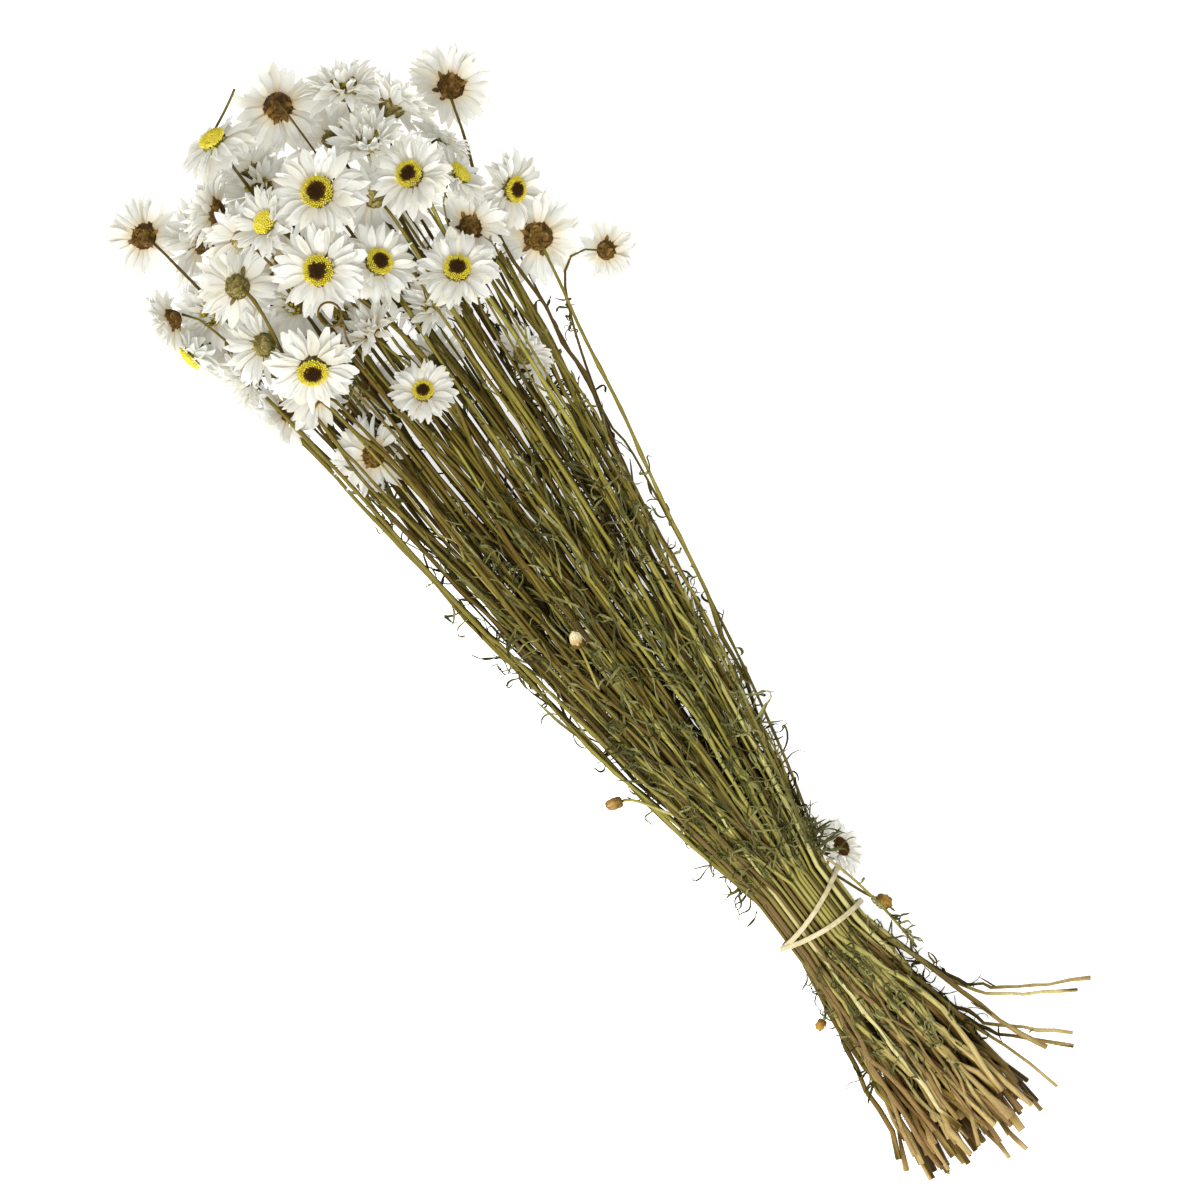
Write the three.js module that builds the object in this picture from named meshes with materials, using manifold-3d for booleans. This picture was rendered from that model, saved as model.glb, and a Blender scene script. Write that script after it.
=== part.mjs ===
// A bunch of dried everlasting daisies, tied with a rubber band and lying on its side.
// Millimetres. +X runs along the bunch from the cut ends to the flowers and +Z is up. All places
// below are measured from the tie, on the surface that the bunch lies on.
import * as THREE from "three";
import Module from "manifold-3d";

const wasm = await Module();
wasm.setup();

// Driving dimensions
const MIDDLE = [142, -17]; // middle of the whole bunch, seen from above: the part's origin
const TIE_HEIGHT = 20; // height of the middle of the tie above the surface
const TIE_HALF_WIDTH = 18;
const TIE_HALF_HEIGHT = 14;
const TIE_HALF_LENGTH = 14; // the stems run straight this far to each side of the tie
const STEM_RADIUS = { butt: 1.55, tie: 1.35, middle: 1.15, neck: 0.75 }; // out to the corners
const STEM_SIDES = 3;
const BARE_STEMS = 8; // stems that broke off short of the flowers
const BUTT_REACH = [104, 128]; // how far behind the tie the stems are cut
const BUTT_SPREAD = [30, 24]; // half width and half height of the fan of cut ends
const HEART = { ends: [-22, -12, 12, 24], shares: [0.5, 1, 1, 0.5], sides: 8 };
const HEAD = { y: -5, z: 42, halfWidth: 75, halfHeight: 38 }; // the crowd of blooms, from its front
const BLOOM_RADIUS = 19; // the bloom that the proportions below belong to
const HUB = { radius: 6.4, collar: 1.6, depth: 5.4, belly: 4.8 };
const DISC = { radius: 5.9, height: 1.7, lift: 0.3 };
const PETAL = { width: 8.2, tip: 3, thickness: 1, droop: 12, waist: 0.6 };
const OUTER_ANGLE = 6; // degrees that the outer petals stand up from the bloom's plane
const INNER_ANGLE = 30;
const GAP = 0.3; // clearance between neighbouring pieces
const BEND = { room: 2.8, spread: 7, passes: 60, lowest: 1.4 }; // how stems bend round the hubs
const BAND = { width: 2.5, thickness: 1.1, steps: 22 };
const LOWEST_CUT = 0.35; // height of the middle of the cut ends that press flat on the surface
const LEAVES = 46;
const LEAF = { length: [10, 19], widths: [0.5, 1.2, 0.8], ridges: [0.4, 0.9, 0.8], curl: [28, 70] };
const SHOOT = { run: 20, handle: 6, steps: 6 };

// Blooms, placed by hand: middle of the collar (x, y, z), the way the disc faces (x, y, z), radius,
// degrees that the petals are closed (below 0 they bend back), petals in a layer, own disc or not.
const BLOOMS = [
  [364, -15, 72, 0.25, 0.1, 0.95, 21, 0, 8, true],
  [338, 4, 73, 0.05, 0.2, 0.97, 20, 0, 8, true],
  [326, -17, 66, 0, -0.5, 0.85, 18, 4, 8, true],
  [304, -42, 60, 0.3, -0.25, 0.92, 18, 0, 8, true],
  [347, -50, 65, 0.4, 0.1, 0.9, 18, 0, 8, true],
  [307, 31, 67, -0.5, 0.35, 0.8, 20, -4, 8, true],
  [272, 0, 48, 0.3, -0.2, 0.9, 14, 4, 8, true],
  [318, -81, 34, -0.45, -0.5, 0.75, 17, 0, 8, true],
  [408, 7, 50, 0.85, 0, 0.5, 18, -26, 8, true],
  [396, 55, 22, 0.4, 0.2, -0.9, 18, 8, 8],
  [404, -23, 40, -0.3, 0.15, -0.95, 20, 6, 8],
  [369, -87, 20, 0.3, -0.35, -0.88, 19, 6, 8],
  [296, -78, 24, 0.25, -0.1, -0.95, 20, 6, 8],
  [274, -98, 15, -0.25, -0.4, -0.88, 14, 10, 8],
  [354, 36, 54, 0.3, 0.25, -0.92, 18, 4, 8],
  [350, -33, 56, 0.8, 0.1, -0.58, 17, 6, 8],
  [370, 22, 56, 0.75, 0.2, -0.55, 17, 10, 7],
  [386, 25, 42, 0.6, 0.5, -0.3, 16, 10, 7],
  [394, -50, 46, 0.7, -0.35, 0.35, 18, 0, 7],
  [376, -62, 44, 0.45, -0.8, -0.3, 18, 0, 7],
  [369, -44, 58, 0.6, -0.3, 0.65, 17, 24, 6],
  [360, 67, 36, 0.15, 0.9, -0.35, 15, 0, 7],
  [343, 68, 26, -0.1, 0.95, 0.1, 18, -20, 7],
  [300, 52, 34, 0.1, 0.85, -0.45, 16, 0, 7],
  [299, 36, 44, 0.35, 0.4, -0.85, 16, 8, 7],
  [328, 42, 48, 0.3, 0.5, -0.8, 17, 4, 7],
  [367, 10, 66, 0.55, 0.35, 0.75, 16, 16, 7],
  [306, 3, 52, 0.75, 0.15, 0.4, 15, 10, 7],
  [264, 33, 34, 0.35, 0.3, -0.85, 17, 6, 7],
  [336, -66, 48, 0.1, -0.9, 0.4, 16, 0, 7],
  [352, -70, 32, 0.35, -0.85, -0.1, 15, 0, 7],
  [316, -58, 40, 0.1, -0.4, -0.9, 16, 4, 7],
  [260, -44, 30, 0.2, -0.85, -0.35, 15, 0, 7],
  [299, -26, 44, 0.6, 0.1, 0.6, 16, 10, 7],
  [320, 56, 26, 0.2, 0.85, 0.3, 16, 6, 7],
  [14, -25, 14, -0.1, -0.8, 0.55, 13, 10, 7, true],
  [392, 2, 26, 0.95, 0, -0.2, 16, 10, 6],
  [380, 38, 18, 0.7, 0.6, -0.3, 16, 6, 6],
  [382, -34, 16, 0.75, -0.2, -0.6, 16, 6, 6],
  [350, 14, 14, 0.25, 0.1, -0.95, 17, 4, 6],
  [348, -40, 14, 0.2, -0.2, -0.95, 17, 4, 6],
  [314, 22, 14, 0.1, 0.1, -0.98, 16, 4, 6],
  [312, -24, 14, 0.1, -0.1, -0.98, 16, 4, 6],
  [336, 52, 10, 0.2, 0.6, -0.7, 15, 10, 6],
  [280, -12, 22, 0.5, -0.1, -0.8, 14, 8, 6],
];

// Cut ends that stand apart from the rest, placed by hand.
const STRAY_CUTS = [
  [-98, -77, 0.5],
  [-95, -69, 6],
  [-116, -50, 5],
  [-111, -55, 12],
  [-139, -11, 16],
  [-133, -4, 24],
];

// The stalk that doubles back to its bloom, and the point that it heads for before its turn,
// measured from the bloom's foot.
const HOOKED = { bloom: "14", heading: [44, 40, 4] };

// Buds on short side shoots, placed by hand: place, way it points, length, colour.
const BUDS = [
  [148, 12, 47, 0.3, 0.1, 0.9, 8, 0xd9c9b4],
  [85, 37, 26, 0.2, 0.9, 0.3, 7, 0xa58c63],
  [-13, -25, 11, -0.8, -0.5, -0.1, 7, 0x8a6239],
];

const vec = (x, y, z) => new THREE.Vector3(x, y, z);
const mix = THREE.MathUtils.lerp;
const rad = THREE.MathUtils.degToRad;

let seed = 20417;

// The next number from 0 to 1 of a fixed series.
function random() {
  seed = (seed * 16807) % 2147483647;
  return seed / 2147483647;
}

const between = (low, high) => low + (high - low) * random();

// A closed surface, put together from points and triangles.
class Shell {
  points = [];
  faces = [];

  add(point) {
    this.points.push(point);
    return this.points.length - 1;
  }

  face(a, b, c) {
    this.faces.push(a, b, c);
  }

  // Joins two rings of as many points each, from a to b.
  wall(a, b) {
    a.forEach((p, i) => {
      const j = (i + 1) % a.length;
      this.face(p, a[j], b[j]);
      this.face(p, b[j], b[i]);
    });
  }

  // Closes a ring with a point in front of it.
  cone(ring, tip) {
    ring.forEach((p, i) => this.face(p, ring[(i + 1) % ring.length], tip));
  }

  // Closes a ring flat, facing along it.
  cap(ring) {
    for (let i = 1; i < ring.length - 1; i++) {
      this.face(ring[0], ring[i], ring[i + 1]);
    }
  }

  solid() {
    const vertProperties = new Float32Array(this.points.flatMap((p) => p.toArray()));
    const triVerts = new Uint32Array(this.faces);
    return new wasm.Manifold(new wasm.Mesh({ numProp: 3, vertProperties, triVerts }));
  }
}

// A limb swept along points, with a radius at each: rings that keep their turn from one to the next.
function limb(path, radii, sides) {
  const shell = new Shell();
  let side = null;
  let last = null;
  path.forEach((point, i) => {
    const ahead = path[Math.min(i + 1, path.length - 1)];
    const along = ahead.clone().sub(path[Math.max(i - 1, 0)]).normalize();
    side ??= Math.abs(along.z) < 0.9 ? vec(0, 0, 1) : vec(0, 1, 0);
    side = side.clone().addScaledVector(along, -side.dot(along)).normalize();
    const other = along.clone().cross(side);
    const ring = [];
    for (let k = 0; k < sides; k++) {
      const turn = (2 * Math.PI * k) / sides;
      const corner = point.clone().addScaledVector(side, radii[i] * Math.cos(turn));
      ring.push(shell.add(corner.addScaledVector(other, radii[i] * Math.sin(turn))));
    }
    if (last) shell.wall(last, ring);
    else shell.cap([...ring].reverse());
    last = ring;
  });
  shell.cap(last);
  return shell.solid();
}

// Keeps only the points of a path that it needs to stay within a tolerance of its shape.
function thinned(path, tolerance) {
  const chord = new THREE.Line3(path[0], path.at(-1));
  let far = 0;
  let at = 0;
  path.forEach((p, i) => {
    const off = chord.closestPointToPoint(p, true, vec(0, 0, 0)).distanceTo(p);
    if (off > far) [far, at] = [off, i];
  });
  if (far <= tolerance) return [path[0], path.at(-1)];
  return [...thinned(path.slice(0, at + 1), tolerance).slice(0, -1), ...thinned(path.slice(at), tolerance)];
}

// The blooms with their size and the point where the stem meets them.
const blooms = BLOOMS.map(([x, y, z, nx, ny, nz, radius, closed, petals, ownDisc], i) => {
  const size = radius / BLOOM_RADIUS;
  const middle = vec(x, y, z);
  const facing = vec(nx, ny, nz).normalize();
  const foot = middle.clone().addScaledVector(facing, -(HUB.depth + HUB.collar) * size - 2 * GAP);
  const name = String(i + 1).padStart(2, "0");
  return { name, size, middle, facing, foot, radius, closed, petals, ownDisc };
});
const loneBloom = blooms.find((bloom) => bloom.middle.x < 100);
const headBlooms = blooms.filter((bloom) => bloom !== loneBloom);

// Each stem's slot in the tie: the blooms sort themselves into rings, outer blooms outside, so that
// the stems fan out without tangling.
function tieSlots(targets) {
  const polar = targets.map((target, i) => {
    const y = (target.y - HEAD.y) / HEAD.halfWidth;
    const z = (target.z - HEAD.z) / HEAD.halfHeight;
    return { i, far: Math.hypot(y, z), turn: Math.atan2(z, y) };
  });
  polar.sort((a, b) => a.far - b.far);
  const slots = [];
  let start = 0;
  for (let ring = 0; start < polar.length; ring++) {
    const count = ring ? Math.round(6.2 * ring) : 1;
    const members = polar.slice(start, start + count).sort((a, b) => a.turn - b.turn);
    members.forEach((member, k) => {
      const turn = (2 * Math.PI * (k + 0.5)) / members.length - Math.PI;
      slots[member.i] = { u: ring * Math.cos(turn), v: ring * Math.sin(turn), ring };
    });
    start += count;
  }
  const rings = Math.max(...slots.map((slot) => slot.ring));
  slots.forEach((slot) => {
    slot.u *= (TIE_HALF_WIDTH - STEM_RADIUS.tie) / rings;
    slot.v *= (TIE_HALF_HEIGHT - STEM_RADIUS.tie) / rings;
  });
  return slots;
}

// Pushes a path out of every bloom's hub but its own, with a soft bend to both sides.
function clearOfHubs(path, own) {
  for (let pass = 0; pass < BEND.passes; pass++) {
    let moved = false;
    for (let k = 2; k < path.length - 3; k++) {
      for (const bloom of blooms) {
        if (bloom === own) continue;
        const front = bloom.middle.clone().addScaledVector(bloom.facing, 3 * bloom.size);
        const axis = new THREE.Line3(bloom.foot, front);
        const away = path[k].clone().sub(axis.closestPointToPoint(path[k], true, vec(0, 0, 0)));
        const room = HUB.radius * bloom.size + BEND.room - away.length();
        if (room <= 0) continue;
        away.setLength(room + 0.1);
        moved = true;
        const from = Math.max(0, k - BEND.spread);
        const to = Math.min(path.length, k + BEND.spread);
        for (let m = from; m < to; m++) {
          const fade = Math.min(1, m / BEND.spread, (path.length - 1 - m) / 4);
          const share = 0.5 + 0.5 * Math.cos((Math.PI * (m - k)) / BEND.spread);
          path[m].addScaledVector(away, share * fade);
        }
      }
    }
    path.forEach((p) => (p.z = Math.max(p.z, BEND.lowest)));
    if (!moved) break;
  }
  return path;
}

// The way of one stem from its cut end through its slot in the tie to its bloom or broken tip.
// A stray one keeps to the bunch until it bends away.
function stemPath(slot, bloom, tip, strayCut) {
  const inTie = (x) => vec(x, slot.u, TIE_HEIGHT + slot.v);
  const out = inTie(TIE_HALF_LENGTH);
  const end = bloom ? bloom.foot : tip;
  const reach = end.clone().sub(out);
  const early = out.clone().add(vec(0.33 * reach.x, between(0.48, 0.66) * reach.y, 0.15 * reach.z));
  let late = end.clone().sub(reach.clone().multiplyScalar(0.25));
  if (bloom) late = end.clone().addScaledVector(bloom.facing, -mix(14, 30, (bloom.facing.z + 1) / 2));
  if (bloom?.name === HOOKED.bloom) late = end.clone().add(vec(...HOOKED.heading));
  const fan = new THREE.CubicBezierCurve3(out, early, late, end).getSpacedPoints(44);
  const turn = Math.atan2(slot.v, slot.u) + rad(between(10, 50));
  const far = Math.hypot(slot.u / TIE_HALF_WIDTH, slot.v / TIE_HALF_HEIGHT);
  const cut = strayCut ?? vec(
    -between(...BUTT_REACH),
    BUTT_SPREAD[0] * far * Math.cos(turn) - 2 + between(-3, 3),
    Math.max(LOWEST_CUT, TIE_HEIGHT + BUTT_SPREAD[1] * far * Math.sin(turn)),
  );
  const into = inTie(-TIE_HALF_LENGTH);
  let knee = vec(-50, mix(cut.y, into.y, 0.7), mix(cut.z, into.z, 0.4));
  let back = new THREE.QuadraticBezierCurve3(cut, knee, into).getPoints(6);
  if (strayCut) {
    knee = vec(mix(into.x, cut.x, 0.68), mix(into.y, cut.y, 0.24), mix(into.z, cut.z, 0.5));
    back = new THREE.CubicBezierCurve3(cut, knee, knee, into).getPoints(9);
  }
  return [...thinned(back, 1), ...thinned(clearOfHubs(fan, bloom), 1)];
}

// How thick a stem is at a place along the bunch.
function stemRadius(point, bloom) {
  if (point.x < 0) return mix(STEM_RADIUS.tie, STEM_RADIUS.butt, -point.x / BUTT_REACH[1]);
  const near = bloom ? 1 - Math.min(1, point.distanceTo(bloom.foot) / 60) : 0;
  const middle = mix(STEM_RADIUS.tie, STEM_RADIUS.middle, Math.min(1, point.x / 200));
  return mix(middle, STEM_RADIUS.neck, near);
}

const tips = Array.from({ length: BARE_STEMS }, () =>
  vec(between(90, 250), between(-50, 22), between(14, 46)),
);
const slots = tieSlots([...headBlooms.map((bloom) => bloom.middle), ...tips]);

// Each stray cut end belongs to the stem whose slot in the tie lies nearest to it.
const strays = new Map();
STRAY_CUTS.forEach((cut) => {
  const away = (i) => Math.hypot(slots[i].u - cut[1] / 3, slots[i].v - (cut[2] - TIE_HEIGHT) / 3);
  const free = slots.map((_, i) => i).filter((i) => !strays.has(i));
  strays.set(free.reduce((a, b) => (away(a) < away(b) ? a : b)), vec(...cut));
});
const paths = slots.map((slot, i) =>
  stemPath(slot, headBlooms[i], tips[i - headBlooms.length], strays.get(i)),
);
const stems = paths.map((path, i) =>
  limb(path, path.map((p) => stemRadius(p, headBlooms[i])), STEM_SIDES),
);

// The point of a stem at a place along the bunch.
function pointAt(path, x) {
  const i = Math.max(1, path.findIndex((p) => p.x >= x));
  return path[i - 1].clone().lerp(path[i], (x - path[i - 1].x) / (path[i].x - path[i - 1].x));
}

// The stems that pass a place along the bunch, where they pass it.
function passing(x) {
  const long = paths.filter((path) => Math.max(...path.map((p) => p.x)) > x);
  return long.map((path) => pointAt(path, x));
}

// A short side shoot from the nearest stem to a point, arriving along a direction.
function shoot(end, facing, radius) {
  const start = passing(end.x - SHOOT.run * Math.sign(facing.x)).reduce((a, b) =>
    a.distanceTo(end) < b.distanceTo(end) ? a : b,
  );
  const early = start.clone().lerp(end, 0.4);
  const late = end.clone().addScaledVector(facing, -SHOOT.handle);
  const way = new THREE.CubicBezierCurve3(start, early, late, end).getPoints(SHOOT.steps);
  return limb(way, way.map(() => radius), STEM_SIDES);
}

// The packed heart of the bunch inside the tie, which the outer stems stand out of.
function heart() {
  const shell = new Shell();
  let last = null;
  HEART.ends.forEach((x, i) => {
    const ring = [];
    for (let k = 0; k < HEART.sides; k++) {
      const turn = (2 * Math.PI * k) / HEART.sides;
      const y = (TIE_HALF_WIDTH - STEM_RADIUS.tie) * HEART.shares[i] * Math.cos(turn);
      const z = (TIE_HALF_HEIGHT - STEM_RADIUS.tie) * HEART.shares[i] * Math.sin(turn);
      ring.push(shell.add(vec(x, y, z + TIE_HEIGHT)));
    }
    if (last) shell.wall(last, ring);
    else shell.cap([...ring].reverse());
    last = ring;
  });
  shell.cap(last);
  return shell.solid();
}

// One of the outer stems on one side of the bunch at a place along it.
function outerStem(x, turn) {
  const side = vec(0, Math.cos(turn) / 1.4, Math.sin(turn));
  const ranked = passing(x).sort((a, b) => b.dot(side) - a.dot(side));
  return ranked[Math.floor(between(0, 0.25 * ranked.length))];
}

// One dry leaf: a narrow three-cornered blade that leaves an outer stem and curls over.
function leaf() {
  const x = random() < 0.25 ? between(-100, -24) : mix(24, 240, Math.pow(random(), 1.6));
  const turn = between(0, 2 * Math.PI);
  const outward = vec(0, Math.cos(turn), Math.sin(turn));
  const sideways = vec(1, 0, 0).cross(outward);
  const length = between(...LEAF.length);
  const curl = between(...LEAF.curl) * (random() < 0.4 ? -1 : 1);
  let heading = vec(between(0.3, 1.3), 0, 0).addScaledVector(outward, between(0.4, 0.9));
  heading.addScaledVector(sideways, between(-0.7, 0.7)).normalize();
  const shell = new Shell();
  const point = outerStem(x, turn).clone();
  let last = null;
  LEAF.widths.forEach((width, i) => {
    const across = heading.clone().cross(sideways).normalize();
    const flat = heading.clone().cross(across).normalize();
    const ring = [
      point.clone().addScaledVector(flat, -width),
      point.clone().addScaledVector(flat, width),
      point.clone().addScaledVector(across, LEAF.ridges[i]),
    ].map((p) => shell.add(vec(p.x, p.y, Math.max(p.z, 0.05))));
    if (heading.dot(across.clone().cross(flat)) > 0) ring.reverse();
    if (last) shell.wall(last, ring);
    else shell.cap([...ring].reverse());
    last = ring;
    point.addScaledVector(heading, length / LEAF.widths.length);
    heading = heading.clone().applyAxisAngle(flat, rad(curl));
  });
  point.z = Math.max(point.z, 0.4);
  shell.cone(last, shell.add(point));
  return shell.solid();
}

// The frame of a bloom: a point from its turn about the axis, distance from it and height on it.
function bloomFrame(bloom) {
  const turn = new THREE.Quaternion().setFromUnitVectors(vec(0, 0, 1), bloom.facing);
  return (angle, distance, height) =>
    vec(distance * Math.cos(angle), distance * Math.sin(angle), height)
      .multiplyScalar(bloom.size)
      .applyQuaternion(turn)
      .add(bloom.middle);
}

// The rings of a bloom's hub: cup of bracts, collar that the petals grow from, and disc.
function hubRings(bloom) {
  const place = bloomFrame(bloom);
  const step = (2 * Math.PI) / bloom.petals;
  const ring = (distance, height, offset, wave = 0) =>
    Array.from({ length: bloom.petals }, (_, k) =>
      place((k + offset) * step, distance + (k % 2 ? wave : -wave), height),
    );
  return {
    bottom: place(0, 0, -HUB.depth - HUB.collar),
    belly: ring(HUB.belly, -HUB.depth + 0.6, 0.5, 0.5),
    low: ring(HUB.radius, -HUB.collar, 0),
    middle: ring(HUB.radius, 0, 0.5),
    high: ring(HUB.radius - 0.2, HUB.collar, 0),
    florets: ring(3.9, HUB.collar + 1.1, 0.5, 0.5),
    top: place(0, 0, HUB.collar + 1.3),
  };
}

// One petal's outline and ridge, from the turn, height and angle at which it leaves the hub.
function petalPoints(bloom, turn, height, angle, roll) {
  const place = bloomFrame(bloom);
  const root = place(turn, HUB.radius, height);
  const out = place(turn, 1, 0).sub(bloom.middle).normalize();
  const across = bloom.facing.clone().cross(out);
  const length = bloom.radius - HUB.radius * bloom.size;
  const lean = (degrees) =>
    out.clone().multiplyScalar(Math.cos(rad(degrees))).addScaledVector(bloom.facing, Math.sin(rad(degrees)));
  const widest = root.clone().addScaledVector(lean(angle), PETAL.waist * length);
  const tip = widest.clone().addScaledVector(lean(angle - PETAL.droop), (1 - PETAL.waist) * length);
  across.applyAxisAngle(lean(angle), rad(roll));
  const up = lean(angle).cross(across).normalize();
  const half = 0.5 * bloom.size;
  return {
    left: widest.clone().addScaledVector(across, -PETAL.width * half),
    right: widest.clone().addScaledVector(across, PETAL.width * half),
    ridge: widest.clone().addScaledVector(up, PETAL.thickness),
    tipLeft: tip.clone().addScaledVector(across, -PETAL.tip * half),
    tipRight: tip.clone().addScaledVector(across, PETAL.tip * half),
  };
}

// Grows a petal out of a triangle of a shell: its walls, its ridge and its blunt tip.
function growPetal(shell, root, petal) {
  const [left, right, ridge, tipLeft, tipRight] = [
    petal.left,
    petal.right,
    petal.ridge,
    petal.tipLeft,
    petal.tipRight,
  ].map((p) => shell.add(p));
  shell.wall(root, [left, right, ridge]);
  shell.face(left, right, tipRight);
  shell.face(left, tipRight, tipLeft);
  shell.face(right, ridge, tipRight);
  shell.face(ridge, left, tipLeft);
  shell.face(ridge, tipLeft, tipRight);
}

// A petal by itself, to try whether it is clear.
function petalAlone(corners, petal) {
  const shell = new Shell();
  const root = corners.map((p) => shell.add(p));
  growPetal(shell, root, petal);
  shell.cap([...root].reverse());
  return shell.solid();
}

// The first angle near the wished one at which a petal is clear of the floor and of its neighbours.
function clearPetal(bloom, corners, turn, height, wish, lowest, obstacles) {
  const roll = between(-14, 14);
  const start = wish + between(-7, 7);
  for (const bend of [0, 7, -7, 14, -14, 22, -22, 31, -31, 41, -41, 52]) {
    const angle = start + bend;
    if (angle < lowest || angle > 78 || angle < -64) continue;
    const petal = petalPoints(bloom, turn, height, angle, roll);
    if (Object.values(petal).some((p) => p.z < GAP)) continue;
    const trial = petalAlone(corners, petal);
    if (obstacles.every((solid) => trial.minGap(solid, 1) > GAP)) return { petal, angle };
  }
  return null;
}

// A bloom's solid. With no obstacles given it is the bare hub.
function bloomSolid(bloom, obstacles) {
  const { bottom, belly, low, middle, high, florets, top } = hubRings(bloom);
  const count = bloom.petals;
  const step = (2 * Math.PI) / count;
  const outer = [];
  const inner = [];
  if (obstacles) {
    for (let k = 0; k < count; k++) {
      const corners = [low[k], low[(k + 1) % count], middle[k]];
      const wish = OUTER_ANGLE + bloom.closed;
      outer.push(clearPetal(bloom, corners, (k + 0.5) * step, -1, wish, -90, obstacles));
    }
    for (let k = 0; k < count; k++) {
      const before = (k + count - 1) % count;
      const corners = [middle[before], middle[k], high[k]];
      const wish = INNER_ANGLE + bloom.closed;
      const lowest = Math.max(outer[before]?.angle ?? -90, outer[k]?.angle ?? -90) + 3;
      inner.push(clearPetal(bloom, corners, k * step, 0.6, wish, lowest, obstacles));
    }
  }
  const shell = new Shell();
  const ids = (points) => points.map((p) => shell.add(p));
  const [bellyIds, lowIds, middleIds, highIds] = [belly, low, middle, high].map(ids);
  shell.cone([...bellyIds].reverse(), shell.add(bottom));
  for (let k = 0; k < count; k++) {
    const next = (k + 1) % count;
    shell.face(bellyIds[k], lowIds[next], lowIds[k]);
    shell.face(bellyIds[k], bellyIds[next], lowIds[next]);
    const outerRoot = [lowIds[k], lowIds[next], middleIds[k]];
    if (outer[k]) growPetal(shell, outerRoot, outer[k].petal);
    else shell.face(...outerRoot);
    shell.face(middleIds[k], lowIds[next], middleIds[next]);
    const innerRoot = [middleIds[k], middleIds[next], highIds[next]];
    if (inner[next]) growPetal(shell, innerRoot, inner[next].petal);
    else shell.face(...innerRoot);
    shell.face(middleIds[k], highIds[next], highIds[k]);
  }
  if (bloom.ownDisc) {
    shell.cap(highIds);
  } else {
    const floretIds = ids(florets);
    for (let k = 0; k < count; k++) {
      const next = (k + 1) % count;
      shell.face(highIds[k], highIds[next], floretIds[k]);
      shell.face(floretIds[k], highIds[next], floretIds[next]);
    }
    shell.cone(floretIds, shell.add(top));
  }
  return shell.solid();
}

// The disc of florets of a bloom that faces up: a low dome in bumpy rings.
function discSolid(bloom) {
  const place = bloomFrame(bloom);
  const shell = new Shell();
  const base = HUB.collar + DISC.lift / bloom.size;
  const ring = (distance, height, offset, wave) =>
    Array.from({ length: 10 }, (_, k) => {
      const up = height + (k % 2 ? wave : -wave);
      return shell.add(place(((k + offset) * Math.PI) / 5, distance, base + up));
    });
  const rings = [
    ring(DISC.radius, 0, 0, 0),
    ring(DISC.radius, 0.5 * DISC.height, 0, 0.25),
    ring(0.66 * DISC.radius, 0.95 * DISC.height, 0, -0.25),
    ring(0.33 * DISC.radius, DISC.height, 0, 0.25),
  ];
  shell.cap([...rings[0]].reverse());
  rings.slice(1).forEach((upper, i) => shell.wall(rings[i], upper));
  shell.cone(rings.at(-1), shell.add(place(0, 0, base + DISC.height)));
  return shell.solid();
}

// A closed bud: an egg of bracts in three rings, each ring turned against the last.
function budSolid([x, y, z, nx, ny, nz, length]) {
  const frame = { size: 1, middle: vec(x, y, z), facing: vec(nx, ny, nz).normalize() };
  const place = bloomFrame(frame);
  const shell = new Shell();
  const widths = [0.16, 0.36, 0.38, 0.24].map((share) => share * length);
  let last = null;
  widths.forEach((width, i) => {
    const ring = Array.from({ length: 8 }, (_, k) => {
      const wave = (k + i) % 2 ? 1.12 : 0.86;
      return shell.add(place((k * Math.PI) / 4, width * wave, (i * length) / widths.length));
    });
    if (last) shell.wall(last, ring);
    else shell.cap([...ring].reverse());
    last = ring;
  });
  shell.cone(last, shell.add(place(0, 0, length)));
  return shell.solid();
}

// One turn of the band: a flat strip round the stems, tilted so that it leans along them.
function bandTurn(lean, offset) {
  const shell = new Shell();
  const rings = [];
  for (let i = 0; i < BAND.steps; i++) {
    const turn = (2 * Math.PI * i) / BAND.steps;
    const [c, s] = [Math.cos(turn), Math.sin(turn)];
    const x = offset + lean * (0.5 - 0.5 * c);
    const corners = [
      [x - BAND.width / 2, 0],
      [x + BAND.width / 2, 0],
      [x + BAND.width / 2, BAND.thickness],
      [x - BAND.width / 2, BAND.thickness],
    ];
    rings.push(
      corners.map(([along, lift]) => {
        const y = (TIE_HALF_WIDTH + 2 * GAP + lift) * c;
        const z = (TIE_HALF_HEIGHT + 2 * GAP + lift) * s + TIE_HEIGHT;
        return shell.add(vec(along, y, z));
      }),
    );
  }
  rings.forEach((ring, i) => shell.wall(ring, rings[(i + 1) % rings.length]));
  return shell.solid();
}

function addPiece(group, name, solid, material) {
  const { numProp, vertProperties, triVerts } = solid.getMesh();
  const positions = new Float32Array((vertProperties.length / numProp) * 3);
  for (let i = 0; i < positions.length / 3; i++) {
    positions.set(vertProperties.subarray(i * numProp, i * numProp + 3), i * 3);
  }
  const geometry = new THREE.BufferGeometry();
  geometry.setAttribute("position", new THREE.BufferAttribute(positions, 3));
  geometry.setIndex(new THREE.BufferAttribute(new Uint32Array(triVerts), 1));
  const piece = new THREE.Mesh(geometry, material);
  piece.name = name;
  group.add(piece);
}

const finish = (color, roughness) =>
  new THREE.MeshStandardMaterial({ color, roughness, metalness: 0, flatShading: true });

const bunch = new THREE.Group();
bunch.position.set(-MIDDLE[0], -MIDDLE[1], 0);

const bandTurns = [bandTurn(13.5, -5.5), bandTurn(-3.5, -5.5)];
const band = bandTurns[0].add(bandTurns[1]);
addPiece(bunch, "rubber_band", band, finish(0xd8cdb2, 0.6));

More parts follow.
